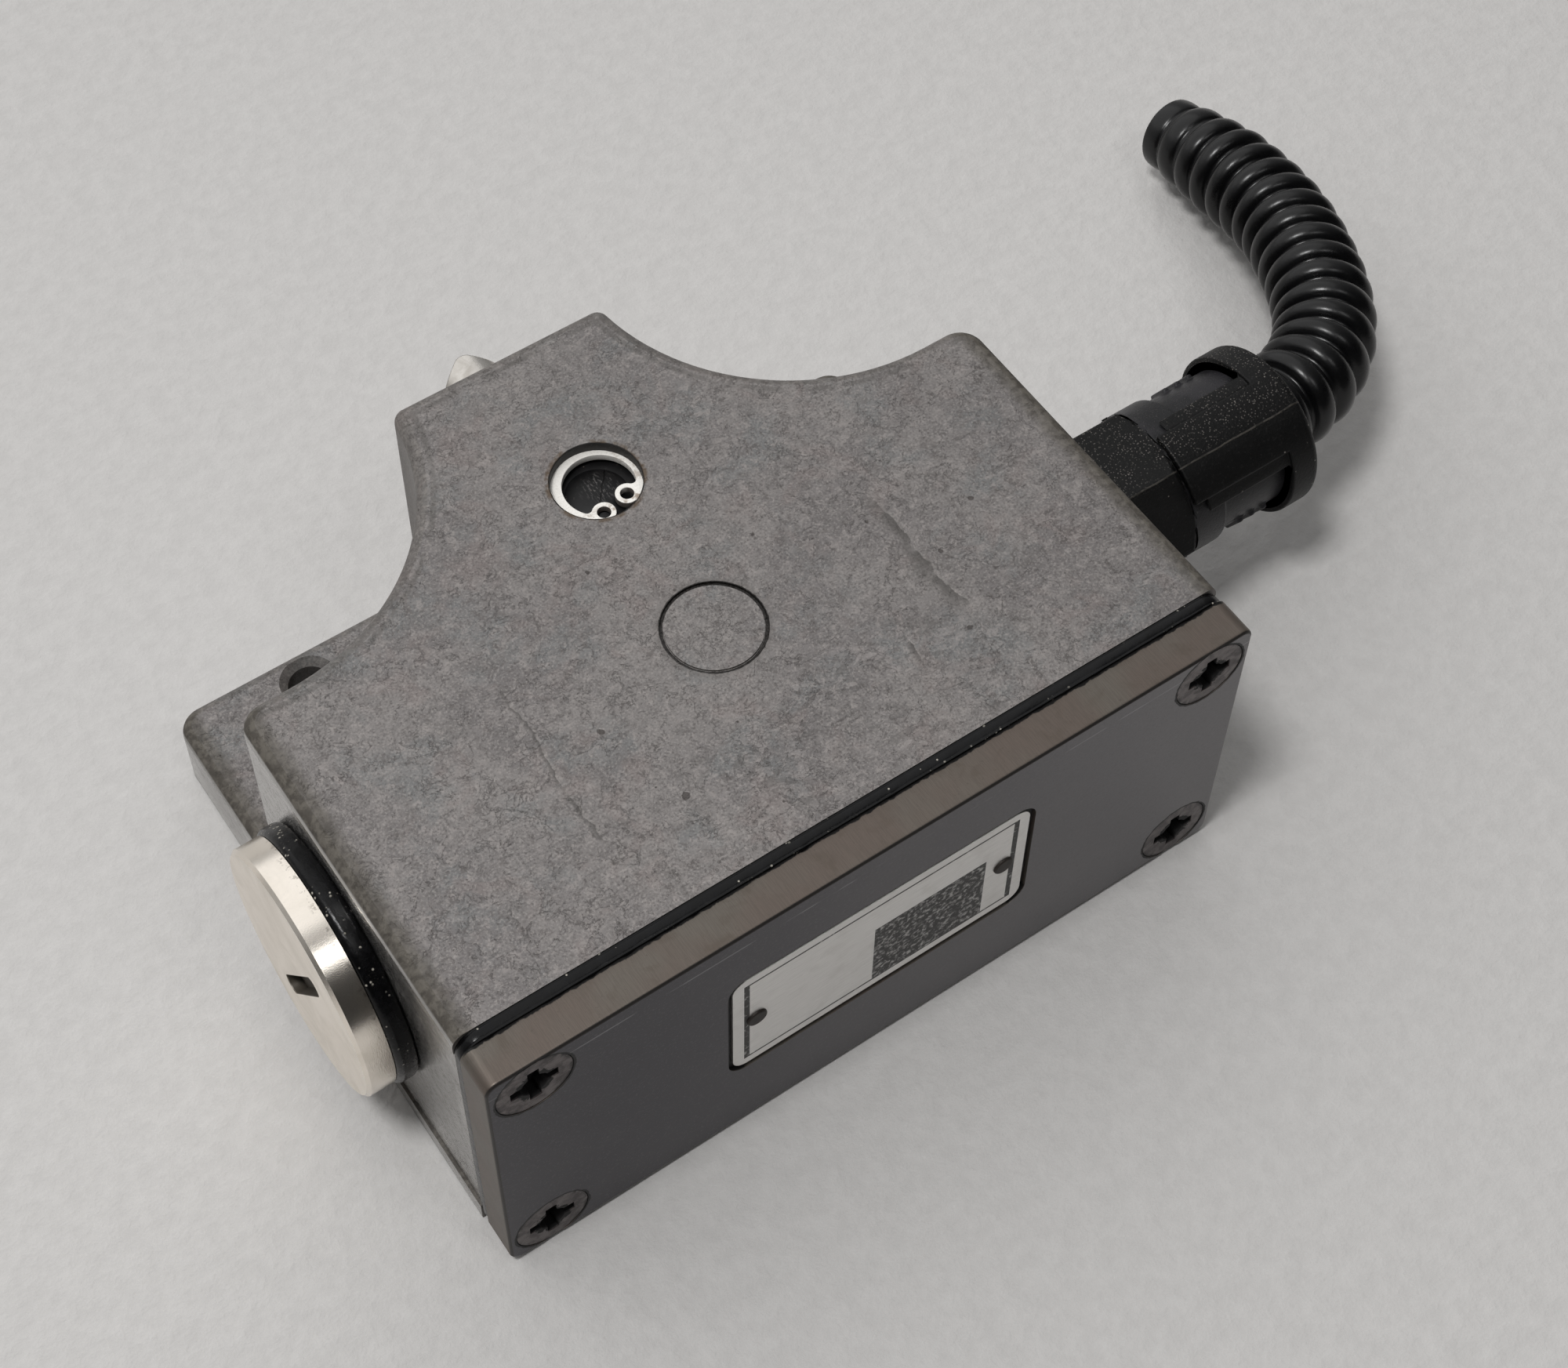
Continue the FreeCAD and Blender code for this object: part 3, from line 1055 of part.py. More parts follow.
def terminal_sites():
    for z in PLUNGER_Z:
        for x in (-NC_SCREW_X, -NO_SCREW_X, NO_SCREW_X, NC_SCREW_X):
            yield x, z


def washer_front_y():
    return CASE_BOTTOM_Y - STRIP_T - TERMINAL_WASHER_T


def make_terminal_washers():
    return Part.makeCompound([
        ring(TERMINAL_WASHER_R, TERMINAL_SCREW_R + SCREW_CLEAR, TERMINAL_WASHER_T,
             V(x, washer_front_y(), z), Y) for x, z in terminal_sites()])


def make_terminal_screws():
    reach = TERMINAL_WASHER_T + STRIP_T + TERMINAL_SCREW_REACH
    return Part.makeCompound([
        pan_screw(x, z, washer_front_y(), TERMINAL_SCREW_HEAD_R, TERMINAL_SCREW_HEAD_H,
                  TERMINAL_SCREW_R, reach, TERMINAL_SCREW_CROSS) for x, z in terminal_sites()])


def make_element_screws():
    return Part.makeCompound([
        pan_screw(s * CASE_SCREW_X, z, CASE_BOTTOM_Y, CASE_SCREW_HEAD_R, CASE_SCREW_HEAD_H,
                  CASE_SCREW_R, CASE_LENGTH + BRACKET_T, CASE_SCREW_CROSS)
        for z in PLUNGER_Z for s in (-1, 1)])


def make_earth_washer():
    return ring(EARTH_WASHER_R, EARTH_SCREW_R + THROUGH_CLEAR, EARTH_WASHER_T,
                V(EARTH_X, EARTH_PAD_Y - EARTH_WASHER_T, EARTH_Z), Y)


def make_earth_screw():
    return pan_screw(EARTH_X, EARTH_Z, EARTH_PAD_Y - EARTH_WASHER_T, EARTH_SCREW_HEAD_R,
                     EARTH_SCREW_HEAD_H, EARTH_SCREW_R, EARTH_WASHER_T + EARTH_SCREW_REACH,
                     EARTH_SCREW_CROSS)


def wire_route(z, side):
    """From the edge of a terminal washer, round the elements, into the fitting's throat."""
    away = -1.0 if z < ENTRY_Z else 1.0
    hand = 1.0 if side == "right" else -1.0
    lane_z = ENTRY_Z + away * (ENTRY_Z - WALL - WIRE_OFF_WALL)
    start_y = washer_front_y() + WIRE_RISE
    lane_y = start_y if side == "right" else start_y - WIRE_LANE_STEP
    entry_y = ENTRY_Y + hand * WIRE_THROAT_OFFSET
    entry_z = ENTRY_Z + away * WIRE_THROAT_OFFSET
    return [
        V(hand * NC_SCREW_X, start_y, z + away * (TERMINAL_WASHER_R + WIRE_OFF_WASHER)),
        V(hand * NC_SCREW_X, lane_y, lane_z),
        V(CHAMBER_HALF_X - WIRE_OFF_SIDE[side], lane_y, lane_z),
        V(INNER_X - WIRE_OFF_ENTRY[side], entry_y, entry_z),
        V(WIRE_END_X, entry_y, entry_z),
    ]


def make_all():
    parts = {
        "housing": make_housing(),
        "cover_gasket": make_cover_gasket(),
        "cover_plate": make_cover_plate(),
        "cover_screws": make_cover_screws(),
        "label_plate": make_label_plate(),
        "label_rivets": make_label_rivets(),
        "blanking_plug": make_blanking_plug(),
        "blanking_plug_seal": make_blanking_plug_seal(),
        "conduit_fitting": make_conduit_fitting(),
        "conduit_fitting_seal": make_fitting_seal(),
        "conduit_locknut": make_locknut(),
        "conduit_locking_sleeve": make_locking_sleeve(),
        "conduit": make_conduit(),
        "retaining_pin": make_retaining_pin(),
        "cross_bore_plug": make_bore_plug(),
        "retaining_ring": make_retaining_ring(),
        "contact_bracket": make_contact_bracket(),
        "bracket_screws": make_bracket_screws(),
        "terminal_washers": make_terminal_washers(),
        "terminal_screws": make_terminal_screws(),
        "element_screws": make_element_screws(),
        "earth_washer": make_earth_washer(),
        "earth_screw": make_earth_screw(),
    }
    for name, z in zip(PLUNGER_NAMES, PLUNGER_Z):
        parts["plunger_" + name] = make_plunger(z)
        parts["plunger_seal_" + name] = make_plunger_seal(z)
        parts["plunger_bush_" + name] = make_plunger_bush(z)
        parts["return_spring_" + name] = make_return_spring(z)
        parts["element_case_" + name] = make_element_case(z)
        parts["element_lid_" + name] = make_element_lid(z)
        parts["element_actuator_" + name] = make_element_actuator(z)
        parts["contact_bridge_" + name] = make_contact_bridge(z)
        parts["fixed_contacts_" + name] = make_fixed_contacts(z)
        for side in ("right", "left"):
            wire = "lead_wire_" + name + "_" + side
            parts[wire] = swept(wire_route(z, side), WIRE_R, wire)
    return parts


os.makedirs("parts", exist_ok=True)
for node, shape in sorted(make_all().items()):
    solids = [solid.translated(-ORIGIN) for solid in shape.Solids]
    good = all(solid.isValid() and solid.isClosed() for solid in solids)
    placed = Part.makeCompound(solids)
    bb = placed.BoundBox
    print(node, "solids", len(solids), "valid", good, "volume", round(placed.Volume, 2),
          "box", [round(v, 2) for v in (bb.XMin, bb.XMax, bb.YMin, bb.YMax, bb.ZMin, bb.ZMax)])
    if not solids or not good:
        raise RuntimeError("bad solid in " + node)
    (solids[0] if len(solids) == 1 else placed).exportStep("parts/" + node + ".step")
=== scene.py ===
import math
import bpy
import bmesh
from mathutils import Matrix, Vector, noise


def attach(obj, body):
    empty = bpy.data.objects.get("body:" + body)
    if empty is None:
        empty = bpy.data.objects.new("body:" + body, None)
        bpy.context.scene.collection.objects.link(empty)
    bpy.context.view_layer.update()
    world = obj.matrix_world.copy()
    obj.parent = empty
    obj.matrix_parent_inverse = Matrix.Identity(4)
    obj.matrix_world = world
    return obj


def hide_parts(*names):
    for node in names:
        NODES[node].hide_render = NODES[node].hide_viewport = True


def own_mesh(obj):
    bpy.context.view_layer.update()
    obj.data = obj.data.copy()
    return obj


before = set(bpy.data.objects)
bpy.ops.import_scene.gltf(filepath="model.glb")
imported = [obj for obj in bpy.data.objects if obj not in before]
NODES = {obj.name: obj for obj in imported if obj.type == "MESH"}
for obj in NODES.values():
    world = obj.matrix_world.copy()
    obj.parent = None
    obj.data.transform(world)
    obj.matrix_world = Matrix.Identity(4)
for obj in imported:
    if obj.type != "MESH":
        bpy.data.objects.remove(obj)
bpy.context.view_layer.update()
MM = 0.001


# The camera

CAMERA_PLACE = (-0.078606, -0.153543, 0.250815)
CAMERA_TURN = (0.9078274, 0.3021973, -0.0887496, -0.2768569)


def make_camera():
    """The photo's camera, as it was solved from the housing's edges."""
    data = bpy.data.cameras.new("camera")
    data.lens = 66.6014
    data.sensor_width = 36.0
    data.shift_x = 0.04125
    data.shift_y = -0.12975
    data.clip_start = 0.005
    data.clip_end = 50.0
    camera = bpy.data.objects.new("camera", data)
    camera.location = CAMERA_PLACE
    camera.rotation_mode = "QUATERNION"
    camera.rotation_quaternion = CAMERA_TURN
    bpy.context.collection.objects.link(camera)
    bpy.context.scene.camera = camera


make_camera()


# The conduit

CONDUIT_ROUTE = [
    (0.0576, -0.0330, 0.0180),
    (0.0672, -0.0330, 0.0180),
    (0.0778, -0.0302, 0.0166),
    (0.0858, -0.0213, 0.0144),
    (0.0939, -0.0034, 0.0089),
    (0.0932, 0.0120, 0.0052),
]
CONDUIT_WALL = 0.6 * MM
CONDUIT_BORE_R = 3.5 * MM
RIB_PITCH = 3.35 * MM
RIB_CREST_R = 5.45 * MM
RIB_GROOVE_R = 4.25 * MM
RIB_LEAST_HEIGHT = 0.35 * MM
# Crest radii of the ribs at the free end, the last rib first
LAST_RIBS_R = [4.3 * MM, 4.8 * MM, 5.15 * MM]
# In pitches: how wide a crest is, and how far the ribs are moved towards the free end
RIB_CREST_SHARE = 0.78
RIB_SHIFT = 0.25
# The power that rounds a crest: 2 is an ellipse, and more is squarer
RIB_ROUNDNESS = 2.1
POINTS_AROUND = 64
RINGS_PER_RIB = 26


def nurbs_points(points, name):
    """The points of a smooth line that has the route's points as its control points."""
    data = bpy.data.curves.new(name, "CURVE")
    data.dimensions = "3D"
    data.resolution_u = 48
    spline = data.splines.new("NURBS")
    spline.points.add(len(points) - 1)
    for point, place in zip(spline.points, points):
        point.co = (*place, 1.0)
    spline.order_u = 3
    spline.use_endpoint_u = True
    holder = bpy.data.objects.new(name, data)
    bpy.context.collection.objects.link(holder)
    bpy.context.view_layer.update()
    mesh = bpy.data.meshes.new_from_object(holder)
    line = [v.co.copy() for v in mesh.vertices]
    bpy.data.meshes.remove(mesh)
    bpy.data.objects.remove(holder)
    return line


class Track:
    """A line walked by distance, with a frame that doesn't twist."""

    def __init__(self, points):
        self.points = points
        self.far = [0.0]
        for a, b in zip(points, points[1:]):
            self.far.append(self.far[-1] + (b - a).length)
        self.length = self.far[-1]
        heading = (points[1] - points[0]).normalized()
        side = heading.orthogonal().normalized()
        self.frames = []
        for k in range(len(points)):
            a = points[max(k - 1, 0)]
            b = points[min(k + 1, len(points) - 1)]
            new = (b - a).normalized()
            side = heading.rotation_difference(new) @ side
            side = (side - new * side.dot(new)).normalized()
            heading = new
            self.frames.append((heading, side))

    def at(self, s):
        """The place this far along the line, and two directions across the line there."""
        k = 0
        while k < len(self.far) - 2 and self.far[k + 1] < s:
            k += 1
        t = (s - self.far[k]) / (self.far[k + 1] - self.far[k])
        place = self.points[k].lerp(self.points[k + 1], t)
        heading = self.frames[k][0].lerp(self.frames[k + 1][0], t).normalized()
        side = self.frames[k][1].lerp(self.frames[k + 1][1], t)
        side = (side - heading * side.dot(heading)).normalized()
        return place, side, heading.cross(side)


def skinned(name, work, loops):
    """A smooth piece whose skin joins each loop of points to the next, and the last to the first."""
    count = len(loops[0])
    for a, b in zip(loops, loops[1:] + loops[:1]):
        for j in range(count):
            n = (j + 1) % count
            work.faces.new((a[j], a[n], b[n], b[j]))
    for face in work.faces:
        face.smooth = True
    bmesh.ops.recalc_face_normals(work, faces=work.faces)
    mesh = bpy.data.meshes.new(name)
    work.to_mesh(mesh)
    work.free()
    piece = bpy.data.objects.new(name, mesh)
    bpy.context.collection.objects.link(piece)
    return piece


def rib_radius(s, length):
    """The conduit's outer radius this far along it, with ribs counted from its free end."""
    from_end = (length - s) / RIB_PITCH + RIB_SHIFT
    ribs_left = int(from_end)
    crest = LAST_RIBS_R[ribs_left] if ribs_left < len(LAST_RIBS_R) else RIB_CREST_R
    phase = from_end % 1.0
    half = RIB_CREST_SHARE / 2.0
    off = abs(phase - 0.5)
    groove = min(RIB_GROOVE_R, crest - RIB_LEAST_HEIGHT)
    if off < half:
        return groove + (crest - groove) * (1.0 - (off / half) ** RIB_ROUNDNESS) ** 0.5
    return groove


def make_conduit():
    """The ribbed tube, open at its free end, and the line through its middle."""
    line = nurbs_points(CONDUIT_ROUTE, "conduit_line")
    track = Track(line)
    steps = int(track.length / RIB_PITCH * RINGS_PER_RIB)
    rings = []
    for k in range(steps + 1):
        s = track.length * k / steps
        rings.append((s, rib_radius(s, track.length)))
    inner = [(s, max(r - CONDUIT_WALL, CONDUIT_BORE_R)) for s, r in reversed(rings)]
    turns = [2.0 * math.pi * j / POINTS_AROUND for j in range(POINTS_AROUND)]
    work = bmesh.new()
    loops = []
    for s, r in rings + inner:
        place, side, up = track.at(s)
        loops.append([work.verts.new(place + (side * math.cos(a) + up * math.sin(a)) * r)
                      for a in turns])
    return skinned("conduit_tube", work, loops), line


# Materials


def shade(red, green, blue):
    """A colour from the values 0 to 255 that a picture shows it with."""
    def linear(v):
        v = v / 255.0
        return v / 12.92 if v <= 0.04045 else ((v + 0.055) / 1.055) ** 2.4
    return (linear(red), linear(green), linear(blue), 1.0)


# The places that the looks follow are below, all in millimetres.

# The housing: its top, the centre and crease of its round notches, the crease at its nose, its
# milled sides, the round mark and the plugged bore
TOP_Z = 36.0
NOTCH_X = 34.7
NOTCH_Y = 6.1
NOTCH_CREASE_R = 24.75
NOSE_CREASE_Y = 2.95
SIDE_FLAT_X = 39.4
MARK_Y = -32.9
MARK_R = 4.9
BORE_Y = -13.3
BORE_R = 4.35

# The cover, its four screws and its gasket
COVER_BACK_Y = -55.7
COVER_FRONT_Y = -59.7
COVER_SCRATCH_Z = 33.55
SCREW_X = 35.5
SCREW_MIDDLE_Z = 17.875
SCREW_OFF_Z = 13.85
SCREW_HEAD_R = 3.75
GASKET_Y = -55.1

# The label: the height of its middle, the half sizes of its recess and of its frame line, and
# the middle and half sizes of its printed block
LABEL_Z = 19.0
LABEL_RECESS = (16.5, 8.5)
LABEL_LINE_OUTER = (14.80, 6.90)
LABEL_LINE_INNER = (14.22, 6.66)
LABEL_BLOCK = (5.3, 16.9, 6.1, 4.7)

# The plug and the fitting, which share an axis: the plug's ends and flat face, the angle of the
# fitting's parting line and where its core starts
AXIS_Y = -33.0
AXIS_Z = 18.0
PLUG_FACE_X = -44.8
PLUG_BACK_X = -42.0
PLUG_FLAT_R = 11.6
SEAM_TURN = math.radians(118.4)
CORE_START_X = 51.4
CORE_R = 8.2

# The retaining ring's eyes, and the scuff and the crack of the black plug under it
RING_EYES_Y = -14.6
SCUFF_PLACE = (0.6, -12.8)
CRACK_PLACE = (1.35, -12.3)
CRACK_ACROSS = (0.77, -0.64)

# Flow marks of the casting on the top face: x, where along y each starts and ends and how wide
# its shade is, in millimetres, and how far it leans, in millimetres of x for each one of y.
FLOW_MIDDLE_Y = -38.0
FLOW_MARKS = [
    (20.1, -28.0, -45.6, 2.0, 0.0),
    (15.0, -41.6, -47.6, 1.0, -0.22),
    (-19.4, -26.5, -47.5, 0.5, -0.03),
    (-4.4, -42.4, -48.2, 0.8, 0.05),
]
# Pits and spots on the top face: x, y and radius in millimetres.
PITS = [(27.45, -34.3, 0.32), (18.0, -31.1, 0.22), (18.85, -45.7, 0.30), (21.6, -37.5, 0.24),
        (-11.6, -46.0, 0.45), (-14.2, -36.5, 0.38), (8.6, -26.4, 0.22), (-6.2, -21.6, 0.20)]


class Look:
    """A procedural material. Its places and sizes are millimetres in the object's frame."""

    def __init__(self, name, **fixed):
        self.material = bpy.data.materials.new(name)
        self.material.use_nodes = True
        self.tree = self.material.node_tree
        self.shader = self.tree.nodes["Principled BSDF"]
        for label, value in fixed.items():
            self.shader.inputs[label.replace("_", " ")].default_value = value
        where = self.node("ShaderNodeTexCoord")
        scaled = self.node("ShaderNodeVectorMath", operation="SCALE")
        scaled.inputs["Scale"].default_value = 1.0 / MM
        self.put(scaled.inputs[0], where.outputs["Object"])
        self.place = scaled.outputs[0]
        self.x, self.y, self.z = self.split(self.place)
        self.off_x = self.math("ABSOLUTE", self.x)
        self.nx, self.ny, self.nz = self.split(where.outputs["Normal"])

    def node(self, kind, **settings):
        made = self.tree.nodes.new(kind)
        for name, value in settings.items():
            setattr(made, name, value)
        return made

    def put(self, target, value):
        if isinstance(value, bpy.types.NodeSocket):
            self.tree.links.new(value, target)
        else:
            target.default_value = value

    def split(self, vector):
        parts = self.node("ShaderNodeSeparateXYZ")
        self.put(parts.inputs[0], vector)
        return parts.outputs[0], parts.outputs[1], parts.outputs[2]

    def math(self, operation, *values, clamp=False):
        made = self.node("ShaderNodeMath", operation=operation, use_clamp=clamp)
        for target, value in zip(made.inputs, values):
            self.put(target, value)
        return made.outputs[0]

    def vector(self, operation, a, b):
        made = self.node("ShaderNodeVectorMath", operation=operation)
        self.put(made.inputs[0], a)
        self.put(made.inputs[1], b)
        return made.outputs[0]

    def noise(self, size, detail=2.0, rough=0.5, distort=0.0, grain=None, place=None):
        """Noise with features of this size. Grain is what each axis is stretched by."""
        made = self.node("ShaderNodeTexNoise")
        source = self.place if place is None else place
        if grain:
            source = self.vector("DIVIDE", source, grain)
        self.put(made.inputs["Vector"], source)
        self.put(made.inputs["Scale"], 1.0 / size)
        self.put(made.inputs["Detail"], detail)
        self.put(made.inputs["Roughness"], rough)
        self.put(made.inputs["Distortion"], distort)
        return made.outputs[0]

    def sway(self, amount, size, detail=2.0, rough=0.5):
        """Noise that swings this much about zero."""
        return self.times(self.math("SUBTRACT", self.noise(size, detail, rough), 0.5), amount)

    def cells(self, size):
        """How far each point is from the seed of its cell, in cells of this size."""
        made = self.node("ShaderNodeTexVoronoi")
        self.put(made.inputs["Vector"], self.place)
        self.put(made.inputs["Scale"], 1.0 / size)
        return made.outputs["Distance"]

    def ease(self, value, low, high, start=0.0, end=1.0):
        """Goes smoothly from start, where the value is at low, to end, where it is at high."""
        made = self.node("ShaderNodeMapRange", interpolation_type="SMOOTHSTEP")
        for name, v in (("Value", value), ("From Min", low), ("From Max", high),
                        ("To Min", start), ("To Max", end)):
            self.put(made.inputs[name], v)
        return made.outputs[0]

    def band(self, value, middle, half, soft):
        """1 within half of the middle, 0 beyond half and soft."""
        off = self.math("ABSOLUTE", self.math("SUBTRACT", value, middle))
        return self.ease(off, half, half + soft, 1.0, 0.0)

    def panel(self, x, z, half_x, half_z, soft):
        """1 inside a rectangle of the front, given by its middle and half sizes."""
        return self.times(self.band(self.x, x, half_x, soft), self.band(self.z, z, half_z, soft))

    def mix(self, share, a, b):
        made = self.node("ShaderNodeMix", data_type="RGBA")
        self.put(made.inputs[0], share)
        self.put(made.inputs[6], a)
        self.put(made.inputs[7], b)
        return made.outputs[2]

    def rest(self, share):
        """What this share leaves of 1."""
        return self.math("SUBTRACT", 1.0, share)

    def times(self, *values):
        out = values[0]
        for value in values[1:]:
            out = self.math("MULTIPLY", out, value)
        return out

    def plus(self, *values):
        out = values[0]
        for value in values[1:]:
            out = self.math("ADD", out, value)
        return out

    def bump(self, height, depth):
        """A normal that follows this height, with its depth in millimetres."""
        made = self.node("ShaderNodeBump")
        made.inputs["Strength"].default_value = 1.0
        made.inputs["Distance"].default_value = depth * MM
        self.put(made.inputs["Height"], height)
        return made.outputs[0]

    def radius(self, a, a0, b, b0):
        """How far (a, b) is from (a0, b0)."""
        da = self.math("SUBTRACT", a, a0)
        db = self.math("SUBTRACT", b, b0)
        return self.math("SQRT", self.plus(self.times(da, da), self.times(db, db)))

    def set(self, colour, rough, normal, metal=0.0):
        """Connect what varies over the surface, and give back the material."""
        for name, value in (("Base Color", colour), ("Roughness", rough),
                            ("Normal", normal), ("Metallic", metal)):
            self.put(self.shader.inputs[name], value)
        return self.material


def flakes(k, cool):
    """Pale and deep flakes in the skin of the casting, plainest towards the cover."""
    flake = k.noise(2.6, 8.0, 0.62, 0.4, grain=(1.0, 0.55, 1.0))
    zone = k.times(k.ease(k.y, -38.0, -43.0), k.ease(k.x, -16.0, -6.0), k.ease(k.x, 24.0, 12.0),
                   k.ease(cool, 0.42, 0.54))
    near = k.plus(0.12, k.times(zone, 0.88))
    pale = k.times(k.ease(flake, 0.560, 0.572), near)
    deep = k.times(k.ease(flake, 0.430, 0.418), near)
    return pale, deep


def pits(k, top):
    """Pits of the casting, small ones anywhere and the listed ones on the top."""
    pit = k.times(k.ease(k.cells(3.3), 0.050, 0.030), k.ease(k.noise(6.5, 1.0), 0.50, 0.56))
    ragged = k.sway(0.5, 0.5)
    for x, y, size in PITS:
        spot = k.plus(k.radius(k.x, x, k.y, y), ragged)
        pit = k.math("MAXIMUM", pit, k.times(k.ease(spot, size, size * 0.6), top))
    return pit


def flow_marks(k, top):
    """Flow marks of the casting: painted shade that fades to one side of each, and a painted
    highlight along the other side.
    """
    wobble = k.plus(k.sway(2.2, 9.0, 1.0), k.sway(1.1, 1.7, 3.0, 0.6))
    along = k.math("SUBTRACT", k.y, FLOW_MIDDLE_Y)
    flow_painted_shade = 0.0
    rim = 0.0
    for x, start_y, end_y, width, lean in FLOW_MARKS:
        line = k.plus(k.math("SUBTRACT", k.x, x), k.times(along, lean), wobble)
        # Painted shade on the low side of each mark's step, fading away from it
        edge = k.ease(line, 0.0, -0.08)
        fade = k.ease(line, -width, -0.05)
        ends = k.times(k.ease(k.y, end_y, end_y + 3.0), k.ease(k.y, start_y, start_y - 3.0), top)
        flow_painted_shade = k.math("MAXIMUM", flow_painted_shade, k.times(edge, fade, ends))
        # The pale rim: a painted highlight along the other side of each mark
        rim = k.math("MAXIMUM", rim, k.times(k.band(line, 0.10, 0.04, 0.10), ends))
    return flow_painted_shade, rim


def die_cast_body():
    """Tumbled die-cast metal: mottled, with flow marks, milled side flats and dark round edges."""
    k = Look("die_cast_body")
    cloud = k.noise(14.0, 3.0, 0.55, 0.5)
    cool = k.noise(7.0, 3.0, 0.55, 0.4)
    warm = k.noise(5.2, 4.0, 0.6, 0.8, place=k.vector("ADD", k.place, (40.0, 7.0, 3.0)))
    mottle = k.noise(0.85, 5.0, 0.62, 0.3)
    patch = k.noise(2.6, 6.0, 0.62, 0.7)
    fine = k.noise(0.24, 3.0, 0.62)
    top = k.ease(k.nz, 0.985, 0.998)
    base = k.mix(k.ease(cloud, 0.36, 0.64), shade(127, 123, 121), shade(115, 111, 110))
    base = k.mix(k.ease(cool, 0.50, 0.64, 0.0, 0.65), base, shade(115, 117, 117))
    base = k.mix(k.ease(warm, 0.52, 0.66, 0.0, 0.55), base, shade(127, 117, 114))
    base = k.mix(k.ease(patch, 0.54, 0.64, 0.0, 0.38), base, shade(142, 137, 134))
    base = k.mix(k.ease(patch, 0.46, 0.36, 0.0, 0.42), base, shade(106, 103, 101))
    base = k.mix(k.ease(mottle, 0.53, 0.66, 0.0, 0.60), base, shade(152, 146, 143))
    base = k.mix(k.ease(mottle, 0.47, 0.34, 0.0, 0.65), base, shade(96, 91, 89))
    base = k.mix(k.ease(fine, 0.53, 0.66, 0.0, 0.55), base, shade(160, 155, 151))
    base = k.mix(k.ease(fine, 0.47, 0.34, 0.0, 0.65), base, shade(80, 75, 73))

    # Fine broken outlines in the skin of the casting
    skin = k.noise(1.7, 7.0, 0.66, 0.5, place=k.vector("ADD", k.place, (11.0, 3.0, 9.0)))
    crisp = k.ease(skin, 0.492, 0.512)
    outline = k.times(k.band(skin, 0.505, 0.003, 0.012), k.ease(k.noise(2.2, 2.0), 0.44, 0.56))
    base = k.mix(k.times(crisp, 0.16), base, shade(148, 143, 140))
    base = k.mix(k.times(outline, 0.34), base, shade(88, 84, 82))

    pale, deep = flakes(k, cool)
    base = k.mix(k.times(pale, 0.38), base, shade(155, 149, 147))
    base = k.mix(k.times(deep, 0.45), base, shade(94, 91, 89))
    pit = pits(k, top)
    base = k.mix(k.times(pit, 0.75), base, shade(58, 52, 49))
    flow_painted_shade, rim = flow_marks(k, top)
    broken = k.ease(k.noise(2.4, 2.0), 0.40, 0.55, 0.35, 1.0)
    # The flow marks' painted shade, and their pale rim, which is a painted highlight
    base = k.mix(k.times(flow_painted_shade, broken, 0.75), base, shade(80, 77, 74))
    base = k.mix(k.times(rim, broken, 0.18), base, shade(151, 147, 142))

    # Olive fillets, painted shade in the creases round the notches and the nose, and darker walls
    fillet = k.times(k.ease(k.nz, 0.02, 0.25), k.ease(k.nz, 0.9995, 0.985))
    margin = k.times(k.ease(k.plus(k.off_x, k.times(patch, 1.8)), 37.9, 39.6),
                     k.ease(k.nz, 0.90, 0.95))
    fillet = k.math("MAXIMUM", fillet, k.times(margin, 0.8))
    olive = k.mix(k.ease(mottle, 0.40, 0.60), shade(70, 65, 58), shade(96, 91, 83))
    at_side = k.ease(k.off_x, 36.5, 38.5, 0.35, 0.95)
    base = k.mix(k.times(fillet, at_side), base, olive)
    # Painted shade: a dark line in the crease round each notch and along the nose
    notch = k.radius(k.off_x, NOTCH_X, k.y, NOTCH_Y)
    crease_painted_shade = k.math("MAXIMUM", k.band(notch, NOTCH_CREASE_R, 0.12, 0.30),
                    k.band(k.y, NOSE_CREASE_Y, 0.12, 0.30))
    crease_painted_shade = k.times(crease_painted_shade, top, k.ease(k.noise(4.0, 2.0), 0.35, 0.55))
    base = k.mix(k.times(crease_painted_shade, 0.45), base, shade(84, 81, 77))
    wall = k.ease(k.nz, 0.25, 0.05)
    base = k.mix(k.times(wall, 0.5), base, shade(96, 91, 86))

    # Painted shade in the round mark's groove, on its skirt and in the plug's bore, with rust at the
    # bore's rim
    mark_r = k.radius(k.x, 0.0, k.y, MARK_Y)
    rough_edge = k.plus(mark_r, k.sway(0.16, 0.5, 3.0))
    # The groove's near-black colour and the darker skirt round it are painted shade
    groove = k.times(k.band(rough_edge, MARK_R - 0.10, 0.16, 0.06),
                     k.ease(k.z, TOP_Z - 1.0, TOP_Z - 0.6))
    skirt_painted_shade = k.times(k.ease(mark_r, MARK_R + 0.85, MARK_R + 0.15),
                    k.ease(mark_r, MARK_R, MARK_R + 0.06), top)
    base = k.mix(k.times(skirt_painted_shade, 0.45), base, shade(104, 100, 97))
    base = k.mix(k.times(groove, k.ease(fine, 0.3, 0.6, 0.75, 1.0)), base, shade(26, 23, 20))
    # Painted shade, near black, on the bore's wall below the top face
    bore_r = k.radius(k.x, 0.0, k.y, BORE_Y)
    bore_painted_shade = k.times(k.ease(bore_r, BORE_R + 0.17, BORE_R + 0.11),
                   k.ease(k.z, TOP_Z - 6.0, TOP_Z - 5.9))
    base = k.mix(bore_painted_shade, base, k.mix(k.ease(mottle, 0.4, 0.6), shade(8, 7, 7), shade(22, 18, 15)))
    rust = k.times(k.band(bore_r, BORE_R + 0.25, 0.06, 0.30), top,
                   k.ease(k.noise(1.3, 3.0), 0.42, 0.60))
    base = k.mix(k.times(rust, 0.75), base, shade(84, 66, 44))

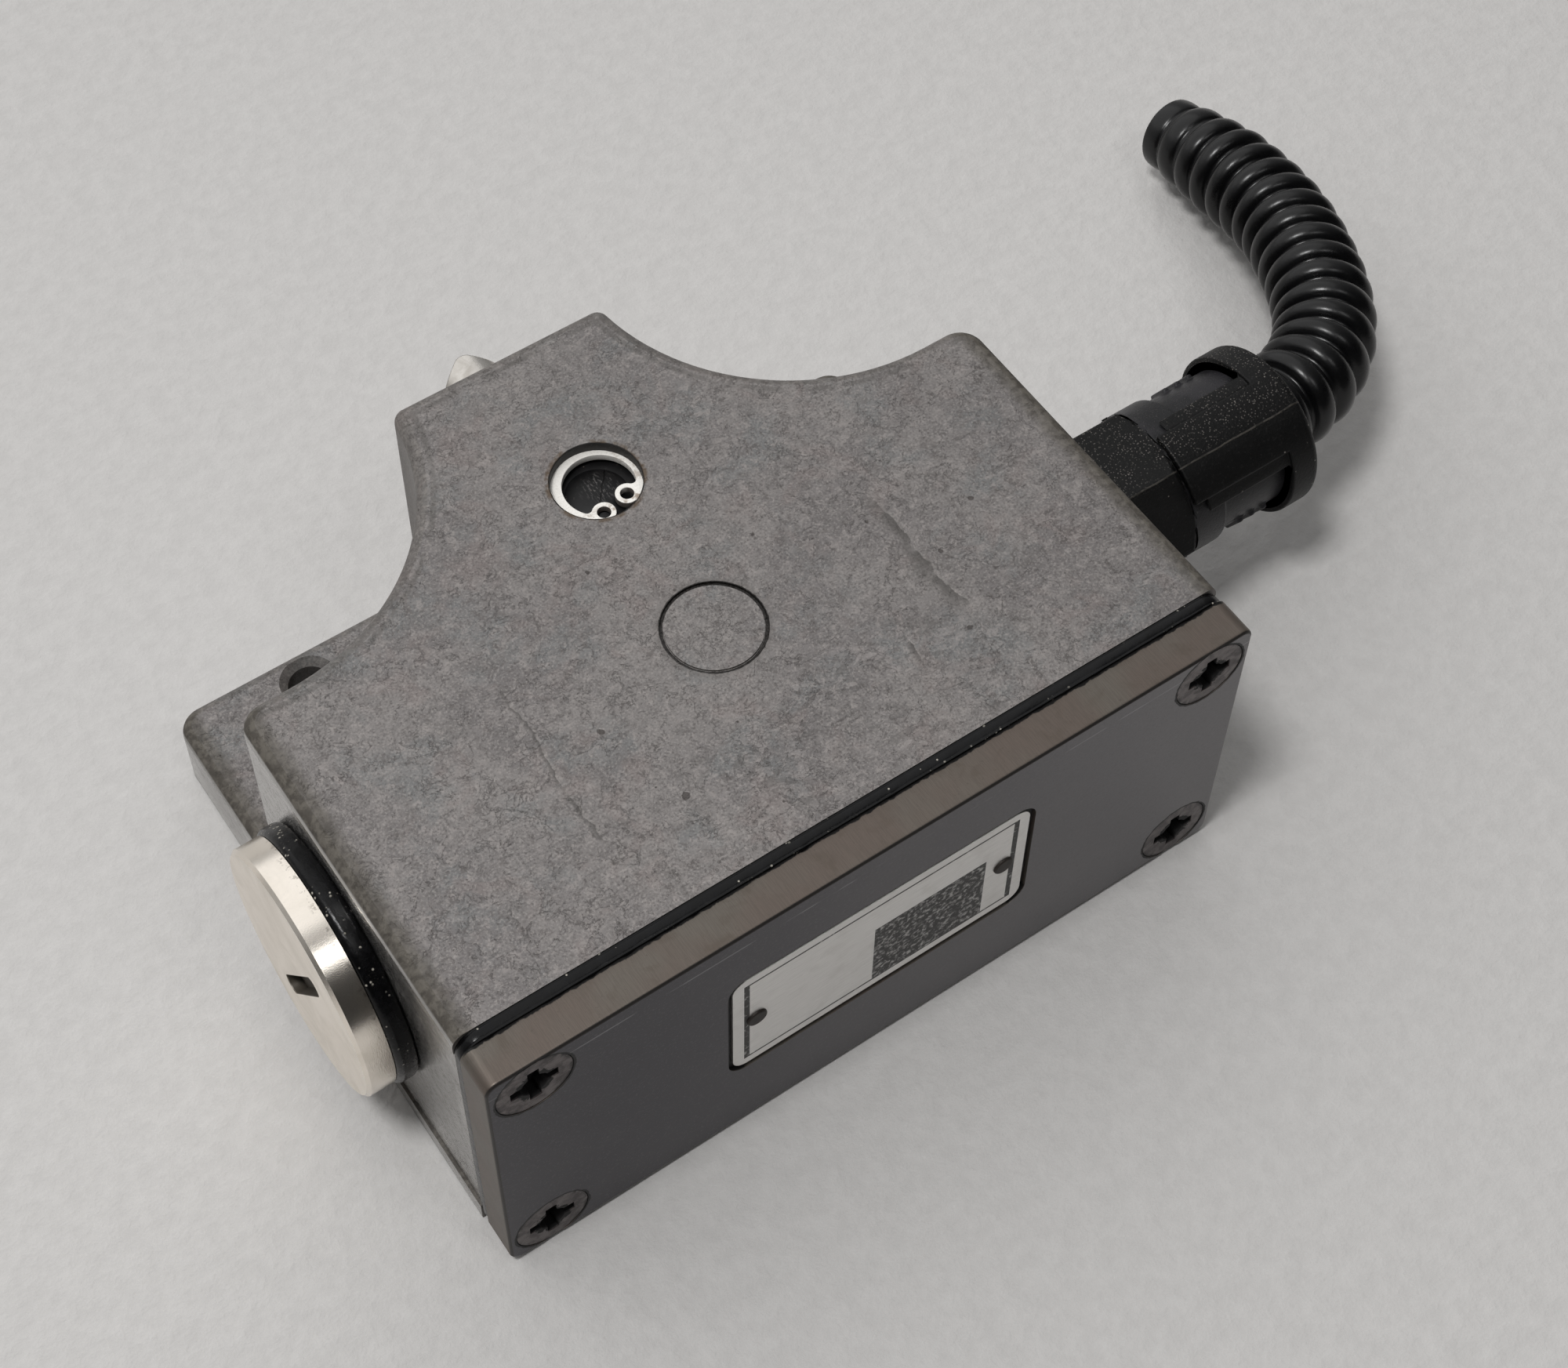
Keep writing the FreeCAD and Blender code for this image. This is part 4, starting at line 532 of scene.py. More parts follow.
    # The milled flats at the sides
    side = k.times(k.ease(k.math("ABSOLUTE", k.nx), 0.85, 0.95),
                   k.ease(k.off_x, SIDE_FLAT_X, SIDE_FLAT_X + 0.1))
    milled = k.noise(0.16, 2.0, 0.5, grain=(1.0, 30.0, 1.0))
    flat = k.mix(k.ease(milled, 0.3, 0.7), shade(170, 168, 166), shade(192, 190, 187))
    flat = k.mix(k.ease(cloud, 0.48, 0.60, 0.0, 0.5), flat, shade(120, 117, 113))
    base = k.mix(side, base, flat)
    rough = k.plus(0.40, k.times(mottle, 0.14), k.times(side, -0.26), k.times(fillet, at_side, 0.25),
                   k.times(bore_painted_shade, 0.10))
    height = k.plus(k.times(fine, 0.45), k.times(mottle, 1.00), k.times(skirt_painted_shade, -0.5),
                    k.times(crisp, 0.35), k.times(outline, -0.4),
                    k.times(flow_painted_shade, -0.5), k.times(pit, -1.0), k.times(pale, 0.5),
                    k.times(deep, -0.4))
    metal = k.plus(0.45, k.times(side, 0.45), k.times(bore_painted_shade, -0.42), k.times(fillet, at_side, -0.3))
    return k.set(base, rough, k.bump(height, 0.040), k.math("MAXIMUM", metal, 0.0))


def from_cover_screw(k):
    """How far a point is from the axis of the nearest cover screw."""
    off_z = k.math("ABSOLUTE", k.math("SUBTRACT", k.z, SCREW_MIDDLE_Z))
    return k.radius(k.off_x, SCREW_X, off_z, SCREW_OFF_Z)


def machined_cover():
    """A machined plate with a dark anodised front, painted darker to the left and lighter to the
    right as a painted reflection, and bare, slightly tarnished edges.
    """
    k = Look("machined_cover")
    front = k.ease(k.ny, -0.93, -0.98)
    turn = k.times(k.ease(k.ny, -0.25, -0.55), k.rest(front))
    across = k.noise(0.11, 3.0, 0.6, grain=(1.0, 16.0, 16.0))
    dirt = k.noise(2.2, 4.0, 0.6, 0.5)
    warm = k.noise(9.0, 2.0, 0.5)
    edge = k.mix(k.ease(warm, 0.40, 0.62), shade(103, 97, 90), shade(101, 91, 84))
    edge = k.mix(k.ease(across, 0.36, 0.66, 0.0, 0.32), edge, shade(82, 76, 70))
    edge = k.mix(k.ease(dirt, 0.50, 0.74, 0.0, 0.5), edge, shade(85, 76, 67))
    speck = k.ease(k.noise(0.30, 2.0, 0.6), 0.66, 0.74)
    edge = k.mix(k.times(speck, 0.6), edge, shade(84, 78, 70))
    soot = k.times(k.ease(k.plus(k.y, k.times(k.noise(0.8, 3.0), 0.55)),
                          COVER_BACK_Y - 0.02, COVER_BACK_Y + 0.10), k.ease(k.nz, 0.5, 0.9))
    edge = k.mix(soot, edge, shade(20, 19, 18))
    edge = k.mix(k.times(turn, 0.9), edge, shade(46, 44, 43))
    smoke = k.noise(18.0, 3.0, 0.5, 0.4)
    face = k.mix(k.ease(smoke, 0.35, 0.65), shade(82, 80, 86), shade(94, 92, 96))
    # A painted reflection: the front is painted darker to the left and lighter to the right
    face = k.mix(k.ease(k.x, -36.0, 34.0), k.mix(0.65, face, shade(34, 32, 38)),
                 k.mix(0.6, face, shade(112, 110, 110)))
    grain = k.noise(0.20, 3.0, 0.65)
    face = k.mix(k.ease(grain, 0.52, 0.72, 0.0, 0.30), face, shade(126, 124, 128))
    face = k.mix(k.ease(grain, 0.48, 0.30, 0.0, 0.30), face, shade(58, 57, 62))
    scratch = k.times(k.band(k.z, COVER_SCRATCH_Z, 0.05, 0.10),
                      k.ease(k.noise(5.0, 2.0), 0.42, 0.58), front)
    face = k.mix(k.times(scratch, 0.45), face, shade(150, 149, 152))
    base = k.mix(front, edge, face)
    # Painted shade, near black, in the gap round the label and in the crevice round each screw head
    label_recess_shade = k.times(k.panel(0.0, LABEL_Z, *LABEL_RECESS, 0.08),
                     k.ease(k.y, COVER_FRONT_Y + 0.04, COVER_FRONT_Y + 0.10))
    ragged = k.plus(from_cover_screw(k), k.sway(0.35, 0.7, 3.0))
    screw_seat_shade = k.times(k.ease(ragged, SCREW_HEAD_R + 0.27, SCREW_HEAD_R + 0.17),
                   k.ease(k.y, COVER_FRONT_Y + 2.7, COVER_FRONT_Y + 2.4), k.ease(k.nz, 0.9, 0.5))
    dark = k.math("MAXIMUM", label_recess_shade, screw_seat_shade)
    base = k.mix(dark, base, shade(12, 11, 11))
    rough = k.plus(0.26, k.times(k.rest(front), 0.14), k.times(grain, 0.10), k.times(dark, 0.3))
    height = k.plus(k.times(across, k.rest(front), 0.35), k.times(grain, 0.20),
                    k.times(scratch, -0.5))
    metal = k.plus(0.62, k.times(front, 0.22), k.times(dark, -0.8))
    return k.set(base, rough, k.bump(height, 0.02), k.math("MAXIMUM", metal, 0.0))


def seal_rubber():
    """Black rubber with pale dust caught along its edges."""
    k = Look("seal_rubber", Specular_IOR_Level=0.22)
    dust = k.cells(0.62)
    keep = k.noise(2.6, 3.0, 0.6)
    rim = k.ease(k.math("ABSOLUTE", k.math("SUBTRACT", k.y, GASKET_Y)), 0.30, 0.50)
    speck = k.times(k.ease(dust, 0.24, 0.12), k.ease(keep, 0.50, 0.60), rim)
    stray = k.times(k.ease(k.cells(1.2), 0.10, 0.05), k.ease(keep, 0.46, 0.58))
    powder = k.times(k.ease(k.noise(0.20, 3.0, 0.7), 0.56, 0.72), k.ease(keep, 0.48, 0.66), rim)
    speck = k.math("MAXIMUM", speck, stray)
    wave = k.noise(1.1, 4.0, 0.62)
    base = k.mix(k.ease(wave, 0.4, 0.7), shade(5, 5, 6), shade(12, 12, 14))
    base = k.mix(k.times(powder, 0.22), base, shade(120, 116, 108))
    base = k.mix(k.times(speck, 0.9), base, shade(186, 181, 170))
    rough = k.plus(0.16, k.times(wave, 0.20), k.times(speck, 0.4))
    return k.set(base, rough, k.bump(k.plus(wave, speck), 0.040))


def machine_steel(name, light, dark, rough_low, metal=1.0):
    """Stained metal with a fine grain, in two shades."""
    k = Look(name)
    stain = k.noise(1.9, 4.0, 0.6, 0.5)
    fine = k.noise(0.16, 3.0, 0.6)
    base = k.mix(k.ease(stain, 0.35, 0.7), shade(*light), shade(*dark))
    base = k.mix(k.ease(fine, 0.55, 0.8, 0.0, 0.35), base, shade(*[v * 0.72 for v in dark]))
    rough = k.plus(rough_low, k.times(stain, 0.14), k.times(fine, 0.08))
    return k.set(base, rough, k.bump(fine, 0.008), metal)


def screw_steel():
    """Satin screws with a little tarnish. The driver recesses of the cover's screws are dirty."""
    k = Look("screw_steel")
    stain = k.noise(1.3, 4.0, 0.62, 0.5)
    fine = k.noise(0.20, 3.0, 0.6)
    base = k.mix(k.ease(stain, 0.38, 0.66), shade(100, 94, 93), shade(62, 56, 56))
    base = k.mix(k.ease(fine, 0.55, 0.78, 0.0, 0.4), base, shade(70, 64, 62))
    head = from_cover_screw(k)
    edge = k.plus(head, k.sway(1.9, 0.55, 3.0, 0.6))
    inside = k.times(k.ease(k.y, COVER_FRONT_Y + 0.08, COVER_FRONT_Y + 0.20),
                     k.ease(head, 2.95, 2.80))
    soil = k.math("MAXIMUM", inside, k.ease(edge, 2.00, 1.80))
    at_front = k.times(k.ease(k.y, -50.0, -58.0), k.ease(k.z, 0.0, 0.1))
    soil = k.times(soil, at_front)
    ring = k.times(k.ease(head, SCREW_HEAD_R - 0.45, SCREW_HEAD_R - 0.15), at_front)
    base = k.mix(k.times(ring, k.ease(stain, 0.42, 0.56), 0.8), base, shade(34, 30, 29))
    base = k.mix(soil, base, shade(7, 6, 6))
    rough = k.plus(0.26, k.times(stain, 0.16), k.times(soil, 0.4))
    return k.set(base, rough, k.bump(k.plus(fine, stain), 0.014), k.rest(k.times(soil, 0.95)))


def plug_nickel():
    """Satin nickel: a fine-ground face, with a brighter rim."""
    k = Look("plug_nickel")
    face = k.ease(k.nx, -0.95, -0.99)
    ground = k.noise(0.12, 3.0, 0.6, grain=(1.0, 1.0, 7.0))
    stain = k.noise(5.0, 4.0, 0.6, 0.6)
    base = k.mix(k.ease(stain, 0.35, 0.7), shade(248, 240, 229), shade(234, 226, 214))
    base = k.mix(k.ease(ground, 0.60, 0.80, 0.0, 0.3), base, shade(186, 177, 164))
    # Painted shade inside the slot: dark brown, rougher and less metallic
    slot = k.times(k.ease(k.x, PLUG_FACE_X + 0.04, PLUG_FACE_X + 0.10),
                   k.ease(k.radius(k.y, AXIS_Y, k.z, AXIS_Z), PLUG_FLAT_R, PLUG_FLAT_R - 0.4))
    base = k.mix(k.times(slot, 0.95), base, shade(58, 51, 41))
    # A darker, noisy band towards the back edge of the rim
    back_band = k.times(k.ease(k.noise(0.6, 3.0, 0.6), 0.56, 0.66),
                    k.ease(k.x, PLUG_BACK_X - 0.9, PLUG_BACK_X - 0.3))
    base = k.mix(k.times(back_band, 0.4), base, shade(96, 86, 72))
    rough = k.plus(0.17, k.times(face, 0.12), k.times(stain, 0.10), k.times(slot, 0.3))
    return k.set(base, rough, k.bump(ground, 0.006), k.rest(k.times(slot, 0.7)))


def fitting_plastic():
    """Glass-filled black nylon: matt, with a fine grain, pale specks and a thin parting line."""
    k = Look("fitting_plastic", Specular_IOR_Level=0.24)
    grain = k.noise(0.26, 3.0, 0.65)
    cloud = k.noise(3.5, 3.0, 0.55)
    dusty = k.noise(2.4, 3.0, 0.6)
    dy = k.math("SUBTRACT", k.y, AXIS_Y)
    dz = k.math("SUBTRACT", k.z, AXIS_Z)
    across = k.plus(k.times(dy, math.sin(SEAM_TURN)), k.times(dz, -math.cos(SEAM_TURN)))
    above = k.plus(k.times(dy, math.cos(SEAM_TURN)), k.times(dz, math.sin(SEAM_TURN)))
    seam = k.times(k.band(k.plus(across, k.sway(0.25, 2.0)), 0.0, 0.05, 0.07),
                   k.ease(above, 4.0, 5.0), k.ease(k.noise(1.2, 2.0), 0.35, 0.50, 0.4, 1.0))
    sprinkle = k.times(k.ease(k.cells(0.27), 0.34, 0.16), k.ease(dusty, 0.34, 0.54),
                       k.ease(across, -1.0, 2.5))
    crumb = k.times(k.ease(k.cells(1.1), 0.11, 0.06), k.ease(dusty, 0.42, 0.55))
    speck = k.math("MAXIMUM", k.times(sprinkle, 0.75), crumb)
    base = k.mix(k.ease(cloud, 0.35, 0.65), shade(4, 4, 4), shade(8, 8, 8))
    base = k.mix(k.ease(grain, 0.56, 0.78, 0.0, 0.45), base, shade(54, 52, 52))
    base = k.mix(k.times(seam, 0.5), base, shade(92, 88, 82))
    base = k.mix(k.times(speck, 0.7), base, shade(132, 127, 122))
    inner = k.ease(k.radius(k.y, AXIS_Y, k.z, AXIS_Z), CORE_R + 0.1, CORE_R - 0.1)
    core = k.times(k.ease(k.x, CORE_START_X - 0.1, CORE_START_X + 0.1), inner)
    worn = k.mix(k.ease(cloud, 0.4, 0.6), shade(30, 30, 32), shade(44, 43, 46))
    base = k.mix(k.times(core, 0.85), base, worn)
    rough = k.plus(0.42, k.times(grain, 0.18), k.times(core, -0.12))
    height = k.plus(grain, k.times(speck, 0.8), k.times(seam, 1.2))
    return k.set(base, rough, k.bump(height, 0.045))


def conduit_plastic():
    """Glossy black polyamide with faint rub marks."""
    k = Look("conduit_plastic", Specular_IOR_Level=0.4)
    cloud = k.noise(2.4, 3.0, 0.6)
    fine = k.noise(0.30, 2.0, 0.6)
    base = k.mix(k.ease(cloud, 0.35, 0.7), shade(5, 5, 6), shade(9, 9, 10))
    base = k.mix(k.ease(fine, 0.62, 0.78, 0.0, 0.2), base, shade(44, 43, 45))
    rough = k.plus(0.20, k.times(cloud, 0.12), k.times(fine, 0.06))
    return k.set(base, rough, k.bump(k.plus(cloud, k.times(fine, 0.3)), 0.02))


def plastic(name, light, dark, rough):
    """Clouded plastic with a moulded grain, in two shades."""
    k = Look(name, Specular_IOR_Level=0.5)
    cloud = k.noise(3.0, 3.0, 0.55)
    grain = k.noise(0.5, 2.0, 0.6)
    base = k.mix(k.ease(cloud, 0.3, 0.7), shade(*light), shade(*dark))
    base = k.mix(k.ease(grain, 0.6, 0.8, 0.0, 0.25), base, shade(*[v * 0.8 for v in dark]))
    return k.set(base, k.plus(rough, k.times(grain, 0.12)), k.bump(grain, 0.012))


def bore_plug_plastic():
    """Black plug under the ring, scuffed at its middle, with one fine crack."""
    k = Look("bore_plug_plastic", Specular_IOR_Level=0.3)
    from_middle = k.radius(k.x, SCUFF_PLACE[0], k.y, SCUFF_PLACE[1])
    scuff = k.noise(0.20, 4.0, 0.7, grain=(1.0, 3.6, 1.0))
    scuff = k.times(k.ease(scuff, 0.52, 0.64), k.ease(from_middle, 2.5, 0.3))
    off_crack = k.plus(k.times(k.math("SUBTRACT", k.x, CRACK_PLACE[0]), CRACK_ACROSS[0]),
                       k.times(k.math("SUBTRACT", k.y, CRACK_PLACE[1]), CRACK_ACROSS[1]),
                       k.sway(0.7, 1.4))
    crack = k.times(k.band(off_crack, 0.0, 0.03, 0.06), k.ease(from_middle, 2.6, 2.2))
    cloud = k.noise(1.6, 3.0, 0.55)
    fleck = k.times(k.ease(k.cells(0.5), 0.16, 0.08), k.ease(k.noise(1.5, 2.0), 0.50, 0.60))
    base = k.mix(k.ease(cloud, 0.3, 0.7), shade(8, 8, 9), shade(17, 16, 17))
    base = k.mix(k.times(scuff, 0.75), base, shade(112, 109, 108))
    base = k.mix(k.times(fleck, 0.6), base, shade(120, 112, 100))
    base = k.mix(k.times(crack, 0.95), base, shade(3, 3, 3))
    rough = k.plus(0.36, k.times(cloud, 0.16), k.times(scuff, 0.25))
    height = k.plus(k.times(scuff, 0.5), k.times(crack, -2.0), k.times(cloud, 0.6))
    return k.set(base, rough, k.bump(height, 0.03))


def label_metal():
    """Silver plate with a thin frame line and a dark block, both printed, and no words."""
    k = Look("label_metal")
    brushed = k.noise(0.10, 3.0, 0.6, grain=(26.0, 1.0, 1.0))
    smear = k.noise(3.0, 3.0, 0.6)
    base = k.mix(k.ease(brushed, 0.3, 0.7), shade(222, 220, 217), shade(236, 234, 231))
    base = k.mix(k.ease(smear, 0.5, 0.75, 0.0, 0.3), base, shade(196, 192, 187))
    front = k.ease(k.ny, -0.9, -0.97)
    line = k.math("SUBTRACT", k.panel(0.0, LABEL_Z, *LABEL_LINE_OUTER, 0.04),
                  k.panel(0.0, LABEL_Z, *LABEL_LINE_INNER, 0.04))
    block = k.panel(*LABEL_BLOCK, 0.06)
    worn = k.noise(0.5, 3.0, 0.6)
    rubbed = k.noise(0.16, 4.0, 0.7, grain=(4.0, 1.0, 1.5))
    block = k.times(block, k.ease(rubbed, 0.66, 0.58, 0.55, 1.0), k.ease(worn, 0.60, 0.48, 0.75, 1.0))
    ink = k.times(k.math("MAXIMUM", line, block), front)
    ink = k.times(ink, k.ease(worn, 0.70, 0.55, 0.55, 1.0))
    base = k.mix(ink, base, shade(44, 42, 41))
    rough = k.plus(0.30, k.times(ink, 0.12), k.times(smear, 0.10))
    return k.set(base, rough, k.bump(k.plus(brushed, k.times(smear, 2.0)), 0.006),
                 k.math("SUBTRACT", 0.80, k.times(ink, 0.6)))


def ring_steel():
    """Bright spring steel with a little rust at the two eyes, and painted shade on the walls round
    the eyes.
    """
    k = Look("ring_steel")
    fine = k.noise(0.14, 3.0, 0.6)
    stain = k.noise(0.8, 4.0, 0.7)
    near = k.plus(k.ease(k.y, RING_EYES_Y - 0.2, RING_EYES_Y - 1.8),
                  k.times(k.ease(k.x, 2.4, 4.0), 0.6))
    rust = k.times(near, k.ease(stain, 0.46, 0.62))
    base = k.mix(k.ease(fine, 0.4, 0.7), shade(252, 249, 243), shade(238, 234, 227))
    base = k.mix(k.times(rust, 0.75), base, shade(122, 96, 66))
    # Painted shade, dark brown, on the walls round the eyes
    eye_wall_painted_shade = k.times(k.ease(k.nz, 0.6, 0.2), k.ease(k.y, RING_EYES_Y, RING_EYES_Y - 0.3))
    base = k.mix(k.times(eye_wall_painted_shade, 0.85), base, shade(52, 34, 22))
    rough = k.plus(0.42, k.times(rust, 0.3), k.times(fine, 0.10))
    metal = k.plus(0.15, k.times(rust, -0.1))
    return k.set(base, rough, k.bump(fine, 0.006), k.math("MAXIMUM", metal, 0.0))


LOOKS = {
    "die_cast_body": die_cast_body(),
    "machined_cover": machined_cover(),
    "seal_rubber": seal_rubber(),
    "plug_nickel": plug_nickel(),
    "fitting_plastic": fitting_plastic(),
    "conduit_plastic": conduit_plastic(),
    "label_metal": label_metal(),
    "ring_steel": ring_steel(),
    "screw_steel": screw_steel(),
    "rivet_dark": machine_steel("rivet_dark", (66, 60, 55), (46, 41, 38), 0.42, 0.5),
    "plunger_steel": machine_steel("plunger_steel", (214, 210, 204), (188, 183, 176), 0.18),
    "bush_bronze": machine_steel("bush_bronze", (176, 138, 92), (138, 104, 66), 0.30),
    "spring_steel": machine_steel("spring_steel", (170, 168, 166), (120, 117, 114), 0.26),
    "contact_brass": machine_steel("contact_brass", (206, 170, 96), (170, 134, 70), 0.24),
    "bore_plug_plastic": bore_plug_plastic(),
    "element_plastic": plastic("element_plastic", (46, 46, 48), (36, 36, 38), 0.42),
    "element_lid_plastic": plastic("element_lid_plastic", (92, 94, 98), (78, 80, 84), 0.40),
    "actuator_plastic": plastic("actuator_plastic", (176, 58, 44), (150, 46, 36), 0.34),
    "wire_insulation": plastic("wire_insulation", (38, 60, 120), (30, 48, 100), 0.36),
}


def dress_nodes():
    """Each CAD node gets the look of its material slot."""
    for name, node in NODES.items():
        for place in node.material_slots:
            slot = place.material.name.split(".")[0]
            place.material = LOOKS["rivet_dark" if name == "label_rivets" else slot]


# Pieces with worn edges

# Copies of CAD nodes with worn edges: the node, its body, its look, and the width that is
# rounded, in millimetres.
SOFT_EDGES = [
    ("cover_screws", "root", "screw_steel", 0.10),
    ("conduit_fitting", "root", "fitting_plastic", 0.25),
    ("conduit_locking_sleeve", "root", "fitting_plastic", 0.22),
    ("label_plate", "root", "label_metal", 0.08),
    ("retaining_ring", "root", "ring_steel", 0.07),
    ("plunger_upper", "plunger_upper", "plunger_steel", 0.15),
    ("plunger_lower", "plunger_lower", "plunger_steel", 0.15),
]
EDGE_ANGLE = math.radians(30.0)
FLAT_ANGLE = math.radians(0.4)
MERGE_DISTANCE = 0.002 * MM


def soften(name, width):
    """A copy of the node's mesh with every sharp edge rounded."""
    work = bmesh.new()
    work.from_mesh(NODES[name].data)
    bmesh.ops.remove_doubles(work, verts=work.verts, dist=MERGE_DISTANCE)
    bmesh.ops.dissolve_limit(work, angle_limit=FLAT_ANGLE, verts=work.verts, edges=work.edges)
    sharp = [e for e in work.edges
             if len(e.link_faces) == 2 and e.calc_face_angle() > EDGE_ANGLE]
    bmesh.ops.bevel(work, geom=sharp, offset=width * MM, offset_type="OFFSET", segments=2,
                    profile=0.6, affect="EDGES", clamp_overlap=False)
    bmesh.ops.remove_doubles(work, verts=work.verts, dist=MERGE_DISTANCE)
    for face in work.faces:
        face.smooth = True
    for edge in work.edges:
        edge.smooth = True
    mesh = bpy.data.meshes.new(name + "_worn")
    work.to_mesh(mesh)
    work.free()
    piece = bpy.data.objects.new(name + "_worn", mesh)
    bpy.context.collection.objects.link(piece)
    weigh = piece.modifiers.new("weigh", "WEIGHTED_NORMAL")
    weigh.weight = 70
    return piece


def make_soft_edges():
    for name, body, slot, width in SOFT_EDGES:
        piece = soften(name, width)
        piece.data.materials.append(LOOKS[slot])
        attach(piece, body)
        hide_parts(name)


# The outline and half thickness of the gasket, how far apart the sections of its squeezed edge
# are, and how far that edge is pressed out, all in millimetres
BEAD_HALF_X = 39.9
BEAD_LOW_Z = 0.1
BEAD_HIGH_Z = 35.9
BEAD_CORNER_R = 2.1
BEAD_HALF_Y = 0.6
BEAD_STEP = 0.3
BEAD_SWELL = 0.03
BEAD_FRONT_LIP = 0.22
BEAD_BACK_LIP = 0.10


def rounded_outline(half_x, low_z, high_z, radius, step):
    """Points and outward directions along a rectangle with round corners."""
    out = []

    def run(a, b, way):
        n = max(1, int((b - a).length / step))
        out.extend((a.lerp(b, j / n), way) for j in range(n))

    def turn(centre, start):
        n = max(4, int(radius * math.pi / 2 / step))
        for j in range(n):
            t = start + math.pi / 2 * j / n
            way = Vector((math.cos(t), math.sin(t)))
            out.append((centre + way * radius, way))

    x1, z0, z1, r = half_x - radius, low_z + radius, high_z - radius, radius
    run(Vector((half_x, z0)), Vector((half_x, z1)), Vector((1, 0)))
    turn(Vector((x1, z1)), 0.0)
    run(Vector((x1, high_z)), Vector((-x1, high_z)), Vector((0, 1)))
    turn(Vector((-x1, z1)), math.pi / 2)
    run(Vector((-half_x, z1)), Vector((-half_x, z0)), Vector((-1, 0)))
    turn(Vector((-x1, z0)), math.pi)
    run(Vector((-x1, low_z)), Vector((x1, low_z)), Vector((0, -1)))
    turn(Vector((x1, z0)), math.pi * 1.5)
    return out


def make_gasket_bead():
    """The gasket's outer edge, squeezed out a little between the housing and the cover."""
    work = bmesh.new()
    loops = []
    for place, way in rounded_outline(BEAD_HALF_X, BEAD_LOW_Z, BEAD_HIGH_Z, BEAD_CORNER_R,
                                      BEAD_STEP):
        spot = Vector((place.x, 0.0, place.y))
        at_top = max(0.0, way.y)
        swell = BEAD_SWELL * noise.noise(spot * 0.35)
        ragged = max(0.0, noise.noise(spot * 0.9 + Vector((7.0, 0.0, 0.0))))
        lip = BEAD_FRONT_LIP * ragged * at_top
        back = BEAD_BACK_LIP * max(0.0, noise.noise(spot * 1.1)) * at_top
        # The section's points: how far out of the outline, and how far along Y from the middle
        shape = [(-0.9, BEAD_HALF_Y), (-0.22, BEAD_HALF_Y), (-0.07, BEAD_HALF_Y * 0.94 + back),
                 (0.02 + swell, BEAD_HALF_Y * 0.55), (0.05 + swell, 0.0),
                 (0.02 + swell, -BEAD_HALF_Y * 0.55), (-0.05, -BEAD_HALF_Y * 0.96 - lip),
                 (-0.24, -BEAD_HALF_Y - lip), (-0.26, -BEAD_HALF_Y), (-0.9, -BEAD_HALF_Y)]
        loop = []
        for out, along in shape:
            loop.append(work.verts.new(Vector((place.x + way.x * out, GASKET_Y + along,
                                               place.y + way.y * out)) * MM))
        loops.append(loop)
    bead = skinned("gasket_bead", work, loops)
    bead.data.materials.append(LOOKS["seal_rubber"])
    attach(bead, "root")


def make_springs():
    """A copy of each plunger's spring in the spring look, fixed to the root, with the CAD spring
    hidden.
    """
    for name in ("lower", "upper"):
        node = "return_spring_" + name
        mesh = NODES[node].data.copy()
        mesh.materials.clear()
        mesh.materials.append(LOOKS["spring_steel"])
        spring = bpy.data.objects.new(node + "_coil", mesh)
        bpy.context.collection.objects.link(spring)
        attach(spring, "root")
        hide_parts(node)
        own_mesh(spring)


# Stage and light


FLOOR_HALF = 3.0
FLOOR_Z = -0.2 * MM
LIT_PLACE = (0.01, -0.025, 0.02)
# The lamps: the direction each shines from, its distance and width in metres, and its watts
LAMPS = [
    ("key", (-0.32, -0.08, 0.945), 0.9, 0.18, 3.8),
    ("soft_box", (-0.06, 0.62, 0.78), 0.85, 1.5, 3.0),
    ("glint", (0.135, -0.46, 0.88), 0.9, 0.25, 0.5),
]
# The room's light: its two strengths, and the cosines of the angle to its bright side where
# it starts to brighten and where it is brightest
BRIGHT_SIDE = (-0.15, 0.80, 0.55)
WORLD_DIM = 0.035
WORLD_BRIGHT = 0.58
DIM_UP_TO = -0.20
BRIGHT_FROM = 0.95


